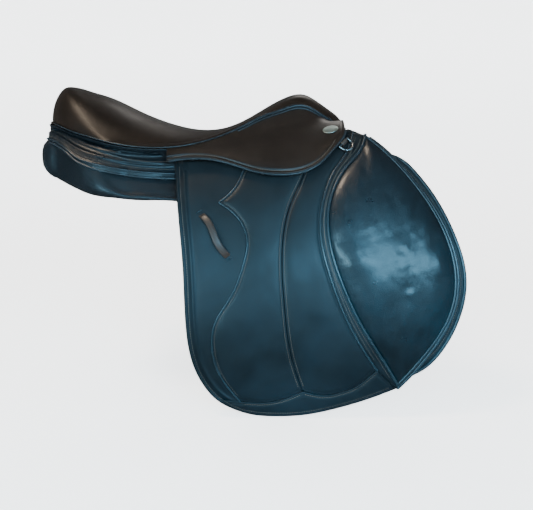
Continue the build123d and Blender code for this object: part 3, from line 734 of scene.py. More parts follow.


# Painted light: the leather is black; the blue-green cast of these flap colours is a painted reflection of blue light,
# on top of the blue-tinted lamps.
BLACK_PAINTED_BLUE_DARK, BLACK_PAINTED_BLUE = (0.0005, 0.0035, 0.0055), (0.0012, 0.0090, 0.0145)
# Painted light: the seat and skirt leather is black like the flap; their brown cast is a painted warm reflection of
# light from above.
BLACK_PAINTED_WARM_DARK, BLACK_PAINTED_WARM = (0.0045, 0.0028, 0.0020), (0.0100, 0.0062, 0.0042)
# Panel: black leather, its faint blue cast a painted reflection of blue light.
BLACK_DARK, BLACK = (0.0015, 0.0030, 0.0042), (0.0040, 0.0070, 0.0095)
materials = {
    "seat_leather": leather_material("seat_leather", BLACK_PAINTED_WARM_DARK, BLACK_PAINTED_WARM, rough=(0.30, 0.42), grain=1100.0,
                                     grain_depth=0.00004, coat=0.03, coat_rough=0.2, specular=0.18),
    # Skirt: black leather, its brown cast a painted warm reflection of light from above.
    "skirt_leather": leather_material("skirt_leather", BLACK_PAINTED_WARM_DARK, (0.0100, 0.0070, 0.0055), rough=(0.30, 0.42),
                                      grain=1000.0, grain_depth=0.00004, coat=0.06, coat_rough=0.2, specular=0.19),
    # Flap: its upper colour is a painted reflection, a darker, less blue tone towards the top.
    "flap_leather": leather_material("flap_leather", BLACK_PAINTED_BLUE_DARK, BLACK_PAINTED_BLUE, upper=(0.0030, 0.0042, 0.0050),
                                     rough=(0.36, 0.48), grain=900.0, grain_depth=0.00005, coat=0.05,
                                     coat_rough=0.3),
    # Knee pad: black leather whose blue-green cast is a painted reflection of blue light; its upper colour is a
    # painted darker, less blue tone towards the top.
    "grained_leather": leather_material("grained_leather", BLACK_PAINTED_BLUE_DARK, (0.0014, 0.0105, 0.0170),
                                        upper=(0.0032, 0.0050, 0.0065), rough=(0.27, 0.38), grain=420.0,
                                        grain_depth=0.00016, wrinkle=1.6, coat=0.28, coat_rough=0.2),
    "panel_leather": leather_material("panel_leather", BLACK_DARK, BLACK, rough=(0.26, 0.38), grain=650.0,
                                      grain_depth=0.00012, wrinkle=1.4, coat=0.12, coat_rough=0.24),
    # Piping: black leather; its blue cast is a painted reflection of blue light, and its upper colour a painted
    # darker, less blue tone towards the top.
    "piping_leather": leather_material("piping_leather", (0.004, 0.012, 0.017), (0.009, 0.024, 0.034),
                                       upper=(0.008, 0.012, 0.015), rough=(0.2, 0.3), grain=1300.0,
                                       grain_depth=0.00003, coat=0.3, coat_rough=0.15),
    "billet_leather": leather_material("billet_leather", (0.012, 0.010, 0.009), (0.026, 0.021, 0.018),
                                       rough=(0.3, 0.42), grain=900.0, grain_depth=0.00006, coat=0.1),
    "laminated_wood": wood_material(),
    "foam": foam_material(),
    "webbing": woven_material("webbing", (0.26, 0.23, 0.18), (0.56, 0.52, 0.43)),
    "forged_steel": metal_material("forged_steel", (0.10, 0.10, 0.11), (0.4, 0.6)),
    "polished_steel": metal_material("polished_steel", (0.30, 0.31, 0.32), (0.2, 0.34)),
    "badge_metal": metal_material("badge_metal", (0.42, 0.52, 0.49), (0.3, 0.42)),
}
thread = leather_material("thread", (0.05, 0.045, 0.038), (0.11, 0.10, 0.08), rough=(0.55, 0.7), grain=2500.0,
                          grain_depth=0.00004, coat=0.0)
for part in frame["record"]["subparts"]:
    node = frame["nodes"][part["node"]]
    node.data.materials.clear()
    node.data.materials.append(materials[part["material_slot"]])


# ---------------------------------------------------------------- seat

stations = np.array(SEAT_STATIONS, float)
station_lines = smooth_curve(stations, 4.0)
seam_curve = smooth_curve(SEAM_LINE, 3.0)


def seat_height(x, y):
    """Height of the seat's upper surface."""
    centre, half, edge = (np.interp(x, station_lines[:, 0], station_lines[:, k]) for k in (1, 2, 3))
    return centre - (centre - edge) * np.minimum(np.abs(y) / half, 1.25) ** 2.6


def seam_height(x):
    return np.interp(x, seam_curve[:, 0], seam_curve[:, 1])


def seat_outline(spacing, grow=0.0):
    right = smooth_curve(SEAT_PLAN, spacing)
    left = right[::-1][1:-1] * (1, -1)
    loop = np.vstack([right, left])
    closed = np.vstack([loop[-1:], loop, loop[:1]])
    return shifted(closed, -grow)[1:-1]


def place_seat(points, height):
    return np.stack([points[:, 0], points[:, 1], height], axis=1)


SEAT_RINGS = (0.12, 0.4, 0.9, 1.6, 2.5, 3.7, 5.2, 7.0, 9.2, 12.0, 15.5, 19.5)


def seat_top(points, edge):
    """The upper surface, rolled over to the seam at its edge; the roll is wider at the cantle."""
    x, y = points.T
    top, seam = seat_height(x, y), seam_height(x)
    width = 13.0 + 15.0 * step_up(-x, -60, 60) + 5.0 * step_up(x, 140, 225)
    q = np.clip(edge / width, 0, 1)
    roll = np.sqrt(1 - (1 - q) ** 2)
    crease = 1.2 * hump(edge, 0, 2.2)
    return seam + 1.0 + (np.maximum(top - seam, 3.0)) * roll - crease


def seat_under(points, edge):
    return seat_top(points, np.maximum(edge - 3.0, 0)) - 3.0 * np.minimum(edge / 3.0, 1)


seat = leather("seat_cover", seat_outline(3.5), place_seat, seat_top, seat_under, materials["seat_leather"],
               "seat_leather", spacing=6.0, rings=SEAT_RINGS, round_edge=0.01)
on_root(seat, "seat_cover")


foam_plan = seat_outline(5.0, grow=-8.0)
foam_plan = foam_plan[foam_plan[:, 0] < 214]
seat_edge = seat_outline(4.0)


def foam_height(depth):
    return lambda p, e: seat_top(p, distance_to(p, seat_edge, True) - 3.0) - depth


foam = leather("seat_foam", foam_plan, place_seat, foam_height(4.0), foam_height(14.8), materials["foam"], "foam",
               spacing=9.0, rings=(1.0, 2.5, 4.5), round_edge=4.0)
on_root(foam, "seat_foam")

webs = []
for name, (x0, x1, y0, y1), depths in (("long", (-190, 140, -31, 31), (15.4, 16.5)),
                                       ("rear", (-94, -46, -75, 75), (16.9, 18.1)),
                                       ("front", (1, 49, -75, 75), (16.9, 18.1))):
    corners = ((x0, y0), (x1, y0), (x1, y1), (x0, y1))
    plan = loop_of(4.0, *[(corners[k], corners[(k + 1) % 4]) for k in range(4)])
    web = leather("seat_web_" + name, plan, place_seat,
                  lambda p, e, d=depths: seat_height(p[:, 0], p[:, 1]) - d[0],
                  lambda p, e, d=depths: seat_height(p[:, 0], p[:, 1]) - d[1],
                  materials["webbing"], "webbing", spacing=8.0, rings=(0.5, 1.5), round_edge=0.5)
    on_root(web, "seat_webbing")


def seam_path(grow, drop, start=-240.0, end=240.0):
    """The seat's seam in space, moved out and down, all the way round."""
    plan = seat_outline(3.0, grow=grow)
    return np.stack([plan[:, 0], plan[:, 1], seam_height(plan[:, 0]) - drop], axis=1)


welt_path = seam_path(1.6, 0.6)
on_root(tube("seat_welt", welt_path, 2.3, materials["piping_leather"], "piping_leather", closed=True,
             swell=0.42 + 0.58 * step_up(welt_path[:, 0], 20, 110)), "seat_welt")


def half_path(path, low_x, high_x):
    """The right-hand stretch of a seam path, from the rear to the front."""
    keep = (path[:, 1] < -1) & (path[:, 0] > low_x) & (path[:, 0] < high_x)
    part = path[keep]
    return part[np.argsort(part[:, 0])] if len(part) else part


second = seam_path(4.4, 4.6)
second_right = half_path(second, 60, 222)
welt2 = tube("second_welt", second_right, 1.5, materials["piping_leather"], "piping_leather")
both_sides(welt2, "root")
seat_plan_in = seat_outline(3.0, grow=-3.4)
depth = distance_to(seat_plan_in, seat_outline(3.0), True)
stitch_z = seat_top(seat_plan_in, depth)
stitch_line = np.stack([seat_plan_in[:, 0], seat_plan_in[:, 1], stitch_z], axis=1)


# ---------------------------------------------------------------- skirt

skirt_low = smooth_curve(tuple(reversed(SKIRT_EDGE[2:])), 3.0)
SKIRT_LIP_RADIUS = 646.4
LEATHER = 3.2


def fold_at(x):
    return FOLD_A + (FOLD_B - FOLD_A) * ((np.asarray(x) - FOLD_A[0]) / (FOLD_B[0] - FOLD_A[0]))[:, None]


def skirt_surface(x, z):
    """Y of the lifting part of the skirt."""
    fold = fold_at(x)
    low_z = np.interp(x, skirt_low[:, 0], skirt_low[:, 1]) - 6
    low_y = SIDE_AXIS_Y - np.sqrt(SKIRT_LIP_RADIUS ** 2 - (low_z - SIDE_AXIS_Z) ** 2)
    u = (fold[:, 2] - z) / (fold[:, 2] - low_z)
    length = np.hypot(fold[:, 1] - low_y, fold[:, 2] - low_z)
    crown = 9.5 * np.minimum(1, length / 75)
    arc = 4 * u * (1 - u) * crown * 1.12
    return fold[:, 1] + (low_y - fold[:, 1]) * u - arc


def on_surface(surface):
    """Places flat (x, z) points on a surface given as y of x and z, raised along its normal."""
    def place(points, height):
        x, z = points.T
        y = surface(x, z)
        dx = (surface(x + 0.5, z) - surface(x - 0.5, z))
        dz = (surface(x, z + 0.5) - surface(x, z - 0.5))
        normal = np.stack([dx, -np.ones_like(dx), dz], axis=1)
        normal /= np.linalg.norm(normal, axis=1)[:, None]
        return np.stack([x, y, z], axis=1) + normal * np.asarray(height)[:, None]
    return place


place_skirt = on_surface(skirt_surface)
RIBS = 150
BASE_ROWS = 14
RIM_STEPS = (0.0, 0.35, 0.9, 1.6, 2.5, 3.6, 4.7, 5.6, 6.6, 8.0, 10.0)
skirt_rim = smooth_curve(tuple(reversed(SKIRT_EDGE[1:])), 1.0)
rim_at = np.linspace(0, len(skirt_rim) - 1, RIBS)
rim = np.stack([np.interp(rim_at, np.arange(len(skirt_rim)), skirt_rim[:, k]) for k in range(2)], axis=1)
rib_x = np.linspace(-40, 221.5, RIBS)
fold = fold_at(rib_x)[:, (0, 2)]
rib = fold - rim
rib_length = np.linalg.norm(rib, axis=1)
shares = []
for step in RIM_STEPS:
    shares.append(step / rib_length * np.minimum(1, rib_length / 24))
shares += [shares[-1] + (1 - shares[-1]) * (k + 1) / 22 for k in range(22)]
skirt_flat = np.array([rim + rib * share[:, None] for share in shares[::-1]])
rim_gap = np.array([share * rib_length for share in shares[::-1]])
skirt_rows = np.array([place_skirt(row, np.zeros(RIBS)) for row in skirt_flat])

plan_right = smooth_curve(SEAT_PLAN, 2.0)
base_top = np.stack([rib_x, np.interp(rib_x, plan_right[:, 0], plan_right[:, 1]) - 3.0, seam_height(rib_x) - 2.4], axis=1)
lead = skirt_rows[0] - skirt_rows[1]
lead /= np.linalg.norm(lead, axis=1)[:, None]
reach = np.linalg.norm(base_top - skirt_rows[0], axis=1)[:, None]
knee_points = skirt_rows[0] + lead * reach * 0.45
base_rows = []
for u in np.linspace(0, 1, BASE_ROWS):
    base_rows.append((1 - u) ** 2 * base_top + 2 * u * (1 - u) * knee_points + u * u * skirt_rows[0])
whole = np.vstack([np.array(base_rows), skirt_rows[1:]])
outward = np.cross(np.gradient(whole, axis=1), np.gradient(whole, axis=0))
outward /= np.linalg.norm(outward, axis=2)[:, :, None]
if outward[len(whole) // 2, RIBS // 2, 1] > 0:
    outward = -outward
lift = np.full(whole.shape[:2], 0.25)
gap = rim_gap[1:]
lift[BASE_ROWS:] += -0.8 * hump(gap, 5.2, 1.2) + 0.45 * hump(gap, 1.9, 1.4) + 0.2 * hump(gap, 8.5, 2.0)
swell = np.sqrt(1 - (1 - np.clip(gap / 1.5, 0, 1)) ** 2)
lift[BASE_ROWS:] = -LEATHER / 2 + (lift[BASE_ROWS:] + LEATHER / 2) * swell
drop = np.full(whole.shape[:2], LEATHER)
drop[BASE_ROWS:] = LEATHER / 2 + LEATHER / 2 * np.maximum(swell, 0.05)
outer, inner = whole + outward * lift[:, :, None], whole - outward * drop[:, :, None]
shade = np.cross(np.gradient(outer, axis=1), np.gradient(outer, axis=0))
shade /= np.linalg.norm(shade, axis=2)[:, :, None]
if shade[len(whole) // 2, RIBS // 2, 1] > 0:
    shade = -shade


def shell(name, top, bottom, normals, material, slot, flip=False):
    """Closed piece from two grids of points, one over the other, with given normals on the outer one."""
    rows, columns = top.shape[:2]
    total = rows * columns
    upper = grid_faces(rows, columns)
    if flip:
        upper = [f[::-1] for f in upper]
    faces = upper + [tuple(i + total for i in f)[::-1] for f in upper]
    border = [(i, i + 1) for i in range(columns - 1)]
    border += [((r + 1) * columns - 1, (r + 2) * columns - 1) for r in range(rows - 1)]
    border += [((rows - 1) * columns + i + 1, (rows - 1) * columns + i) for i in range(columns - 1)]
    border += [((r + 1) * columns, r * columns) for r in range(rows - 1)]
    walls = [(b, a, a + total, b + total) for a, b in border]
    faces += [w[::-1] for w in walls] if flip else walls
    piece = make_object(name, np.vstack([top.reshape(-1, 3), bottom.reshape(-1, 3)]), faces, material, slot)
    if normals is not None:
        under = -normals.reshape(-1, 3)
        piece.data.normals_split_custom_set_from_vertices(
            [tuple(n) for n in np.vstack([normals.reshape(-1, 3), under])])
    return piece


def outward_winding(top, normals):
    a, b, c = top[0, 0], top[0, 1], top[1, 1]
    return np.cross(b - a, c - b) @ normals[0, 0] < 0


last = BASE_ROWS - 1
fold_mid = (FOLD_A + FOLD_B) / 2
fold_way = FOLD_B - FOLD_A
down = np.array((0.0, -0.45, -0.89))
down -= fold_way * (down @ fold_way) / (fold_way @ fold_way)
down /= np.linalg.norm(down)
skirt = shell("skirt", outer[last:], inner[last:], shade[last:], materials["skirt_leather"], "skirt_leather",
              outward_winding(outer[last + 4:], shade[last + 4:]))
both_sides(skirt, "skirt", ("skirt",), blend=("flap", "skirt", tuple(fold_mid), tuple(fold_mid + down * 9)))
base = shell("skirt_base", outer[:last + 1], inner[:last + 1], shade[:last + 1], materials["skirt_leather"],
             "skirt_leather", outward_winding(outer[3:], shade[3:]))
both_sides(base, "root", ("skirt_base",), blend=("root", "flap", tuple(fold_mid - down * 9), tuple(fold_mid)))

lip = (outer[-1] + inner[-1]) / 2
both_sides(tube("skirt_piping", lip[2:-4:1], 1.75, materials["piping_leather"], "piping_leather"), "skirt")
row = trimmed(shifted(smooth_curve(SKIRT_EDGE[2:], 2.0), -5.0), 6, 8)
both_sides(stitches("skirt_stitching", [row_on(place_skirt, row, -0.35)], thread, "skirt_leather"), "skirt")

oval_angle = np.linspace(0, 2 * math.pi, 56, endpoint=False)
tilt = math.radians(12)
oval = np.stack([12 * np.cos(oval_angle), 5 * np.sin(oval_angle)], axis=1)
oval = oval @ np.array(((math.cos(tilt), math.sin(tilt)), (-math.sin(tilt), math.cos(tilt)))) + (200, 55.5)
badge = leather("badge", oval, place_skirt, lambda p, e: 0.9 - 0.35 * hump(e, 1.2, 0.5),
                flat_height(0.1), materials["badge_metal"], "badge_metal", spacing=2.5,
                rings=(0.3, 0.8, 1.2, 1.7), round_edge=0.6)
both_sides(badge, "skirt", ("badge",))


# ---------------------------------------------------------------- flap and its overlays

place_flap = on_layer(632.6)
flap_outline = loop_of(3.5, FLAP_FRONT, FLAP_BOTTOM, FLAP_TOP[:2], FLAP_TOP[1:3], FLAP_TOP[2:4], FLAP_TOP[3:])
flap_rim = np.vstack([smooth_curve(FLAP_FRONT, 3.5), smooth_curve(FLAP_BOTTOM, 3.5)[1:]])
rear_rim = smooth_curve(FLAP_BOTTOM[6:], 3.5)


def flap_top(points, edge):
    d = distance_to(points, flap_rim)
    rear = step_up(-points[:, 0], -75, -40)
    binding = 0.7 * hump(d, 2.4, 2.0) - 1.2 * hump(d, 6.4, 1.6)
    bead = 1.7 * hump(d, 13.0, 2.1) - 0.7 * hump(d, 17.4, 2.0)
    wave = 0.35 * waves(points, 90, 3)
    return binding + bead * rear + wave * step_up(d, 15, 50)


flap = leather("flap", flap_outline, place_flap, flap_top, flat_height(-4.6), materials["flap_leather"],
               "flap_leather", spacing=6.0, rings=(0.4, 1.0, 2.0, 3.2, 4.8, 6.2, 7.8, 10.0, 11.6, 13.0, 14.6, 17.0, 20.0),
               round_edge=1.8)
both_sides(flap, "flap", ("flap",))

rows = []
rim_row = shifted(smooth_curve(FLAP_BOTTOM, 2.0), -6.2)
rows.append(row_on(place_flap, trimmed(rim_row, 130, 8), -0.75))
front_row = shifted(smooth_curve(FLAP_FRONT, 2.0), -5.8)
both_sides(stitches("flap_stitching", rows, thread, "flap_leather"), "flap")


def overlay(name, outline, node, puff=0.9, spacing=5.0, height=2.6, seed=1, wave=0.3):
    """Leather laid over the flap, softly padded away from its edges."""
    def top(points, edge):
        return (height - puff * 0.75 + puff * (1 - np.exp(-edge / 7.0)) + wave * waves(points, 70, seed) * step_up(edge, 4, 30)
                - 0.55 * hump(edge, 3.4, 1.1))
    piece = leather(name, outline, place_flap, top, flat_height(-0.3), materials["flap_leather"], "flap_leather",
                    spacing=spacing, rings=(0.4, 1.0, 1.8, 2.6, 3.4, 4.4, 6.0, 8.5), round_edge=1.5)
    both_sides(piece, "flap", (node,))
    return piece


centre_outline = loop_of(3.0, SEAM_REAR_TOP, SEAM_REAR, SCALLOP_REAR, back(SEAM_MIDDLE), (SEAM_MIDDLE[0], SEAM_REAR_TOP[0]))
overlay("centre_panel", centre_outline, "centre_panel", puff=2.0, seed=5)
front_outline = loop_of(3.0, SEAM_MIDDLE, SCALLOP_FRONT, back(BAND_REAR), (BAND_REAR[0], (205, 44)),
                        ((205, 44), (178, 13)), ((178, 13), SEAM_MIDDLE[0]))
overlay("front_panel", front_outline, "front_panel", puff=2.0, seed=8)
patch_outline = loop_of(3.0, (PATCH_TIP, SCALLOP_REAR[0]), SCALLOP_REAR, SCALLOP_FRONT,
                        (SCALLOP_FRONT[-1], PATCH_BOTTOM[-1]), back(PATCH_BOTTOM))
overlay("bottom_patch", patch_outline, "bottom_patch", puff=1.2, spacing=4.0, seed=11, wave=0.15)

seam_rows = []
for line, shift in ((SEAM_REAR_TOP, 3.6), (SEAM_REAR, 3.6), (SEAM_MIDDLE, -3.6), (SEAM_MIDDLE, 3.6)):
    row = trimmed(shifted(smooth_curve(line, 2.0), shift), 5, 6)
    seam_rows.append(row_on(place_flap, row, 1.6))
for line, shift in ((SCALLOP_REAR, -3.4), (SCALLOP_FRONT, -3.4), (PATCH_BOTTOM, 3.4)):
    row = trimmed(shifted(smooth_curve(line, 2.0), shift), 4, 4)
    seam_rows.append(row_on(place_flap, row, 1.75))
both_sides(stitches("overlay_stitching", seam_rows, thread, "flap_leather"), "flap")

seam_line = np.vstack([smooth_curve(SEAM_REAR_TOP, 2.5)[:-1]])
for name, line, radius in (("seam_piping_top", SEAM_REAR_TOP, 1.3), ("seam_piping", SEAM_REAR, 1.5)):
    path = place_flap(smooth_curve(line, 2.5), np.full(len(smooth_curve(line, 2.5)), 1.1))
    both_sides(tube(name, path, radius, materials["piping_leather"], "piping_leather"), "flap")

band_outline = loop_of(2.5, BAND_REAR, (BAND_REAR[-1], PATCH_BOTTOM[-1]), (PATCH_BOTTOM[-1], BAND_FRONT[-1]),
                       back(BAND_FRONT), (BAND_FRONT[0], BAND_REAR[0]))
band = leather("trim_band", band_outline, place_flap, lambda p, e: 2.6 + 1.0 * (1 - np.exp(-e / 3.0)) - 0.5 * hump(e, 6.5, 1.2),
               flat_height(-0.3), materials["flap_leather"], "flap_leather", spacing=3.5, rings=(0.5, 1.2, 2.2, 3.5, 5.2, 6.6),
               round_edge=1.5)
both_sides(band, "flap", ("trim_band",))
band_rows = []
for k, (line, shift, radius, height) in enumerate(((BAND_REAR, 1.0, 2.0, 2.4), (BAND_FRONT, -1.2, 2.3, 3.6))):
    flat = smooth_curve(line, 2.5)
    path = place_flap(flat, np.full(len(flat), height))
    both_sides(tube("band_piping_%d" % k, path, radius, materials["piping_leather"], "piping_leather"), "flap")
for line, shift in ((BAND_REAR, 5.2), (BAND_FRONT, -5.4)):
    row = trimmed(shifted(smooth_curve(line, 2.0), shift), 6, 14)
    band_rows.append(row_on(place_flap, row, 3.3))
both_sides(stitches("band_stitching", band_rows, thread, "piping_leather"), "flap")


# ---------------------------------------------------------------- knee pad

knee_outline = loop_of(3.0, BAND_FRONT, back(KNEE_FRONT), (KNEE_FRONT[0], BAND_FRONT[0]))
crease = smooth_curve(((322, -20), (316, -70), (309, -120), (305, -165)), 4.0)


def knee_top(points, edge):
    """Stuffed pad: steep at its welt, broad crown, a soft crease down the middle and small puckers."""
    crown = 10.2 * (1 - np.exp(-edge / 13.0)) + 1.5
    fold = -0.9 * hump(distance_to(points, crease), 0, 7.0) + 0.5 * hump(distance_to(points, crease), 10, 6.0)
    soft = 0.55 * waves(points, 60, 21) + 0.16 * waves(points, 16, 22)
    return crown + (fold + soft) * step_up(edge, 4, 25)


knee = leather("knee_pad", knee_outline, place_flap, knee_top, flat_height(-0.2), materials["grained_leather"],
               "grained_leather", spacing=5.0, rings=(0.6, 1.6, 3.0, 5.0, 7.5, 10.5), round_edge=3.0)
rim_points = [i for i, v in enumerate(knee.data.vertices)
              if distance_to(np.array([[v.co.x / MM, v.co.z / MM]]), knee_outline, True)[0] < 2.0]
inflate(knee, cap=2.0, pressure=3.0, frames=12, pins=rim_points)
both_sides(knee, "flap", ("knee_pad",))
front_flat = smooth_curve(KNEE_FRONT, 2.5)
path = place_flap(shifted(front_flat, -0.5), np.full(len(front_flat), 1.6))
both_sides(tube("knee_piping", path, 2.0, materials["piping_leather"], "piping_leather"), "flap")
rim_flat = smooth_curve(FLAP_FRONT[1:], 2.5)
path = on_layer(632.6)(rim_flat, np.full(len(rim_flat), -1.8))
both_sides(tube("flap_front_binding", path, 2.4, materials["piping_leather"], "piping_leather"), "flap")


# ---------------------------------------------------------------- keeper, dee chape

def side_frame(x, z, radius):
    y = SIDE_AXIS_Y - math.sqrt(radius ** 2 - (z - SIDE_AXIS_Z) ** 2)
    normal = np.array((0, (y - SIDE_AXIS_Y) / radius, (z - SIDE_AXIS_Z) / radius))
    return np.array((x, y, z)), normal


ends = [side_frame(x, z, 632.6)[0] for x, z in KEEPER_ENDS]
middle = (ends[0] + ends[1]) / 2
out = side_frame(middle[0], middle[2], 632.6)[1]
along = ends[1] - ends[0]
length = np.linalg.norm(along)
along /= length
across = np.cross(along, out)
profile = []
for k in range(16):
    angle = 2 * math.pi * k / 16
    c, s = math.cos(angle), math.sin(angle)
    profile.append((5.2 * math.copysign(abs(c) ** 0.5, c), 1.15 * math.copysign(abs(s) ** 0.6, s)))
verts = []
KEEPER_STEPS = 40
for k in range(KEEPER_STEPS + 1):
    u = k / KEEPER_STEPS * 2 - 1
    rise = 1.0 + 9.4 * (1 - abs(u) ** 2.4) - 3.2 * step_up(abs(u), 0.86, 1.0)
    bend = 2.6 * math.sin(math.pi * u)
    for w, h in profile:
        verts.append(middle + along * u * (length / 2 + 2.0) + out * (rise + h) + across * (w * 0.92 + bend))
faces = [f[::-1] for f in grid_faces(KEEPER_STEPS + 1, 16, wrap=True)]
faces += [tuple(range(16)), tuple(range(KEEPER_STEPS * 16, (KEEPER_STEPS + 1) * 16))[::-1]]
both_sides(make_object("keeper", verts, faces, materials["billet_leather"], "billet_leather"), "flap", ("keeper",))
cross_rows = []
for end, way in zip(ends, (-1, 1)):
    for shift in (-4.2, 0.0, 4.2):
        start = end + along * way * 4.5 + across * (shift - 1.6) + out * 0.35
        finish = end + along * way * 8.0 + across * (shift + 1.6) + out * 0.35
        normals = np.array([out, out])
        cross_rows.append((np.array([start, finish]), normals))
        start = end + along * way * 4.5 + across * (shift + 1.6) + out * 0.5
        finish = end + along * way * 8.0 + across * (shift - 1.6) + out * 0.5
        cross_rows.append((np.array([start, finish]), normals))
both_sides(stitches("keeper_stitching", cross_rows, materials["piping_leather"], "piping_leather", length=4.2,
                    thick=1.1, pitch=4.4), "flap")

centre, out = side_frame(217.5, 37.0, 640.8)
bar = np.array((0.594, 0.0, 0.804))
bar -= out * (bar @ out)
bar /= np.linalg.norm(bar)
rearward = np.cross(out, bar)
rearward *= -1 if rearward[0] > 0 else 1
profile = []
for k in range(15):
    angle = math.radians(-90 + 15 * k * 1.0)
    profile.append(-rearward * 4.0 * math.cos(angle) * 1.0 + out * 4.0 * math.sin(angle))
loop_path = [centre + out * -4.0 + rearward * d for d in (9.0, 6.0, 3.0)]
loop_path += [centre - rearward * 3.1 * math.cos(a) + out * 3.1 * math.sin(a) for a in np.radians(np.linspace(-80, 100, 12))]
loop_path += [centre + rearward * d + out * h for d, h in ((3.0, 1.0), (6.0, -1.4), (9.0, -2.4))]
loop_path = np.array(loop_path)
tangent = np.gradient(loop_path, axis=0)
tangent /= np.linalg.norm(tangent, axis=1)[:, None]
verts = []
for p, t in zip(loop_path, tangent):
    n = np.cross(t, bar)
    for k in range(12):
        angle = 2 * math.pi * k / 12
        c, s = math.cos(angle), math.sin(angle)
        verts.append(p + bar * 5.4 * math.copysign(abs(c) ** 0.5, c) + n * 0.8 * math.copysign(abs(s) ** 0.7, s))
faces = grid_faces(len(loop_path), 12, wrap=True)
faces += [tuple(range(12))[::-1], tuple(range((len(loop_path) - 1) * 12, len(loop_path) * 12))]
both_sides(make_object("dee_chape", verts, faces, materials["billet_leather"], "billet_leather"), "flap", ("dee_chape",))


# ---------------------------------------------------------------- panel, facing and rear strip

def section_loop(points, count=64):
    loop = smooth_curve(points, 1.0, closed=True)
    run = np.concatenate([[0.0], np.cumsum(np.linalg.norm(np.diff(np.vstack([loop, loop[:1]]), axis=0), axis=1))])
    at = np.linspace(0, run[-1], count, endpoint=False)
    closed = np.vstack([loop, loop[:1]])
    return np.stack([np.interp(at, run, closed[:, k]) for k in range(2)], axis=1)


section_x = np.array([s[0] for s in PANEL_SECTIONS], float)
section_loops = np.array([section_loop(s[1]) for s in PANEL_SECTIONS])
panel_x = np.linspace(-214, 262, 84)
panel_rings = []
flat_tracks = np.concatenate([section_x[:, None], section_loops.reshape(len(section_x), -1)], axis=1)
for x in panel_x:
    k = min(max(np.searchsorted(section_x, x) - 1, 0), len(section_x) - 2)
    h = section_x[k + 1] - section_x[k]
    u = (x - section_x[k]) / h
    slopes = np.gradient(section_loops, section_x, axis=0)
    a, b, ma, mb = section_loops[k], section_loops[k + 1], slopes[k] * h, slopes[k + 1] * h
    panel_rings.append((2 * u ** 3 - 3 * u ** 2 + 1) * a + (u ** 3 - 2 * u ** 2 + u) * ma
                       + (3 * u ** 2 - 2 * u ** 3) * b + (u ** 3 - u ** 2) * mb)
panel_rings = np.array(panel_rings)
rear_sag = 9.0 * hump(panel_x, -190, 48)[:, None] * step_up(20 - panel_rings[:, :, 1], 0, 42)
panel_rings[:, :, 1] -= rear_sag
RING = panel_rings.shape[1]
verts = []
stack = []
for depth, shrink in ((27.0, 0.14), (26.0, 0.34), (23.0, 0.55), (17.6, 0.74), (10.6, 0.89), (4.6, 0.97)):
    stack.append((-214 - depth, panel_rings[0], shrink))
for x, ring in zip(panel_x, panel_rings):
    stack.append((x, ring, 1.0))
for depth, shrink in ((1.5, 0.93), (3.4, 0.78), (4.6, 0.55), (5.0, 0.25)):
    stack.append((262 + depth, panel_rings[-1], shrink))
for x, ring, shrink in stack:
    mid = ring.mean(0)
    for y, z in mid + (ring - mid) * shrink * 0.985:
        verts.append((x, y, z))
faces = grid_faces(len(stack), RING, wrap=True)
faces += [tuple(range(RING))[::-1], tuple(range((len(stack) - 1) * RING, len(stack) * RING))]
faces = [tuple(f) for f in faces]
panel = make_object("panel", verts, faces, materials["panel_leather"], "panel_leather")
panel.data.flip_normals()
inflate(panel, cap=3.0, pressure=3.0, frames=14)
both_sides(panel, "root", ("panel",))


def panel_side(x, z):
    """Y of the cushion's outer side at a height."""
    ring = panel_rings[int(np.argmin(np.abs(panel_x - x)))]
    top, bottom = int(np.argmax(ring[:, 1])), int(np.argmin(ring[:, 1]))
    run = np.arange(len(ring))
    if top < bottom:
        part = ring[top:bottom + 1]
    else:
        part = np.vstack([ring[top:], ring[:bottom + 1]])
    if part[:, 0].mean() > ring[:, 0].mean():
        other = np.vstack([ring[bottom:], ring[:top + 1]]) if top < bottom else ring[bottom:top + 1]
        part = other[::-1]
    order = np.argsort(part[:, 1])
    return np.interp(z, part[order, 1], part[order, 0])


facing_low = smooth_curve(FACING_LOW, 3.0)
strip_low = smooth_curve(STRIP_LOW, 3.0)
NORMAL_PASSES = 12
REAR_STEPS = ((0.03, 0.02), (0.25, 0.05), (0.55, 0.14), (0.8, 0.3), (0.95, 0.5), (1.0, 0.7), (0.97, 0.85), (0.93, 1.0))


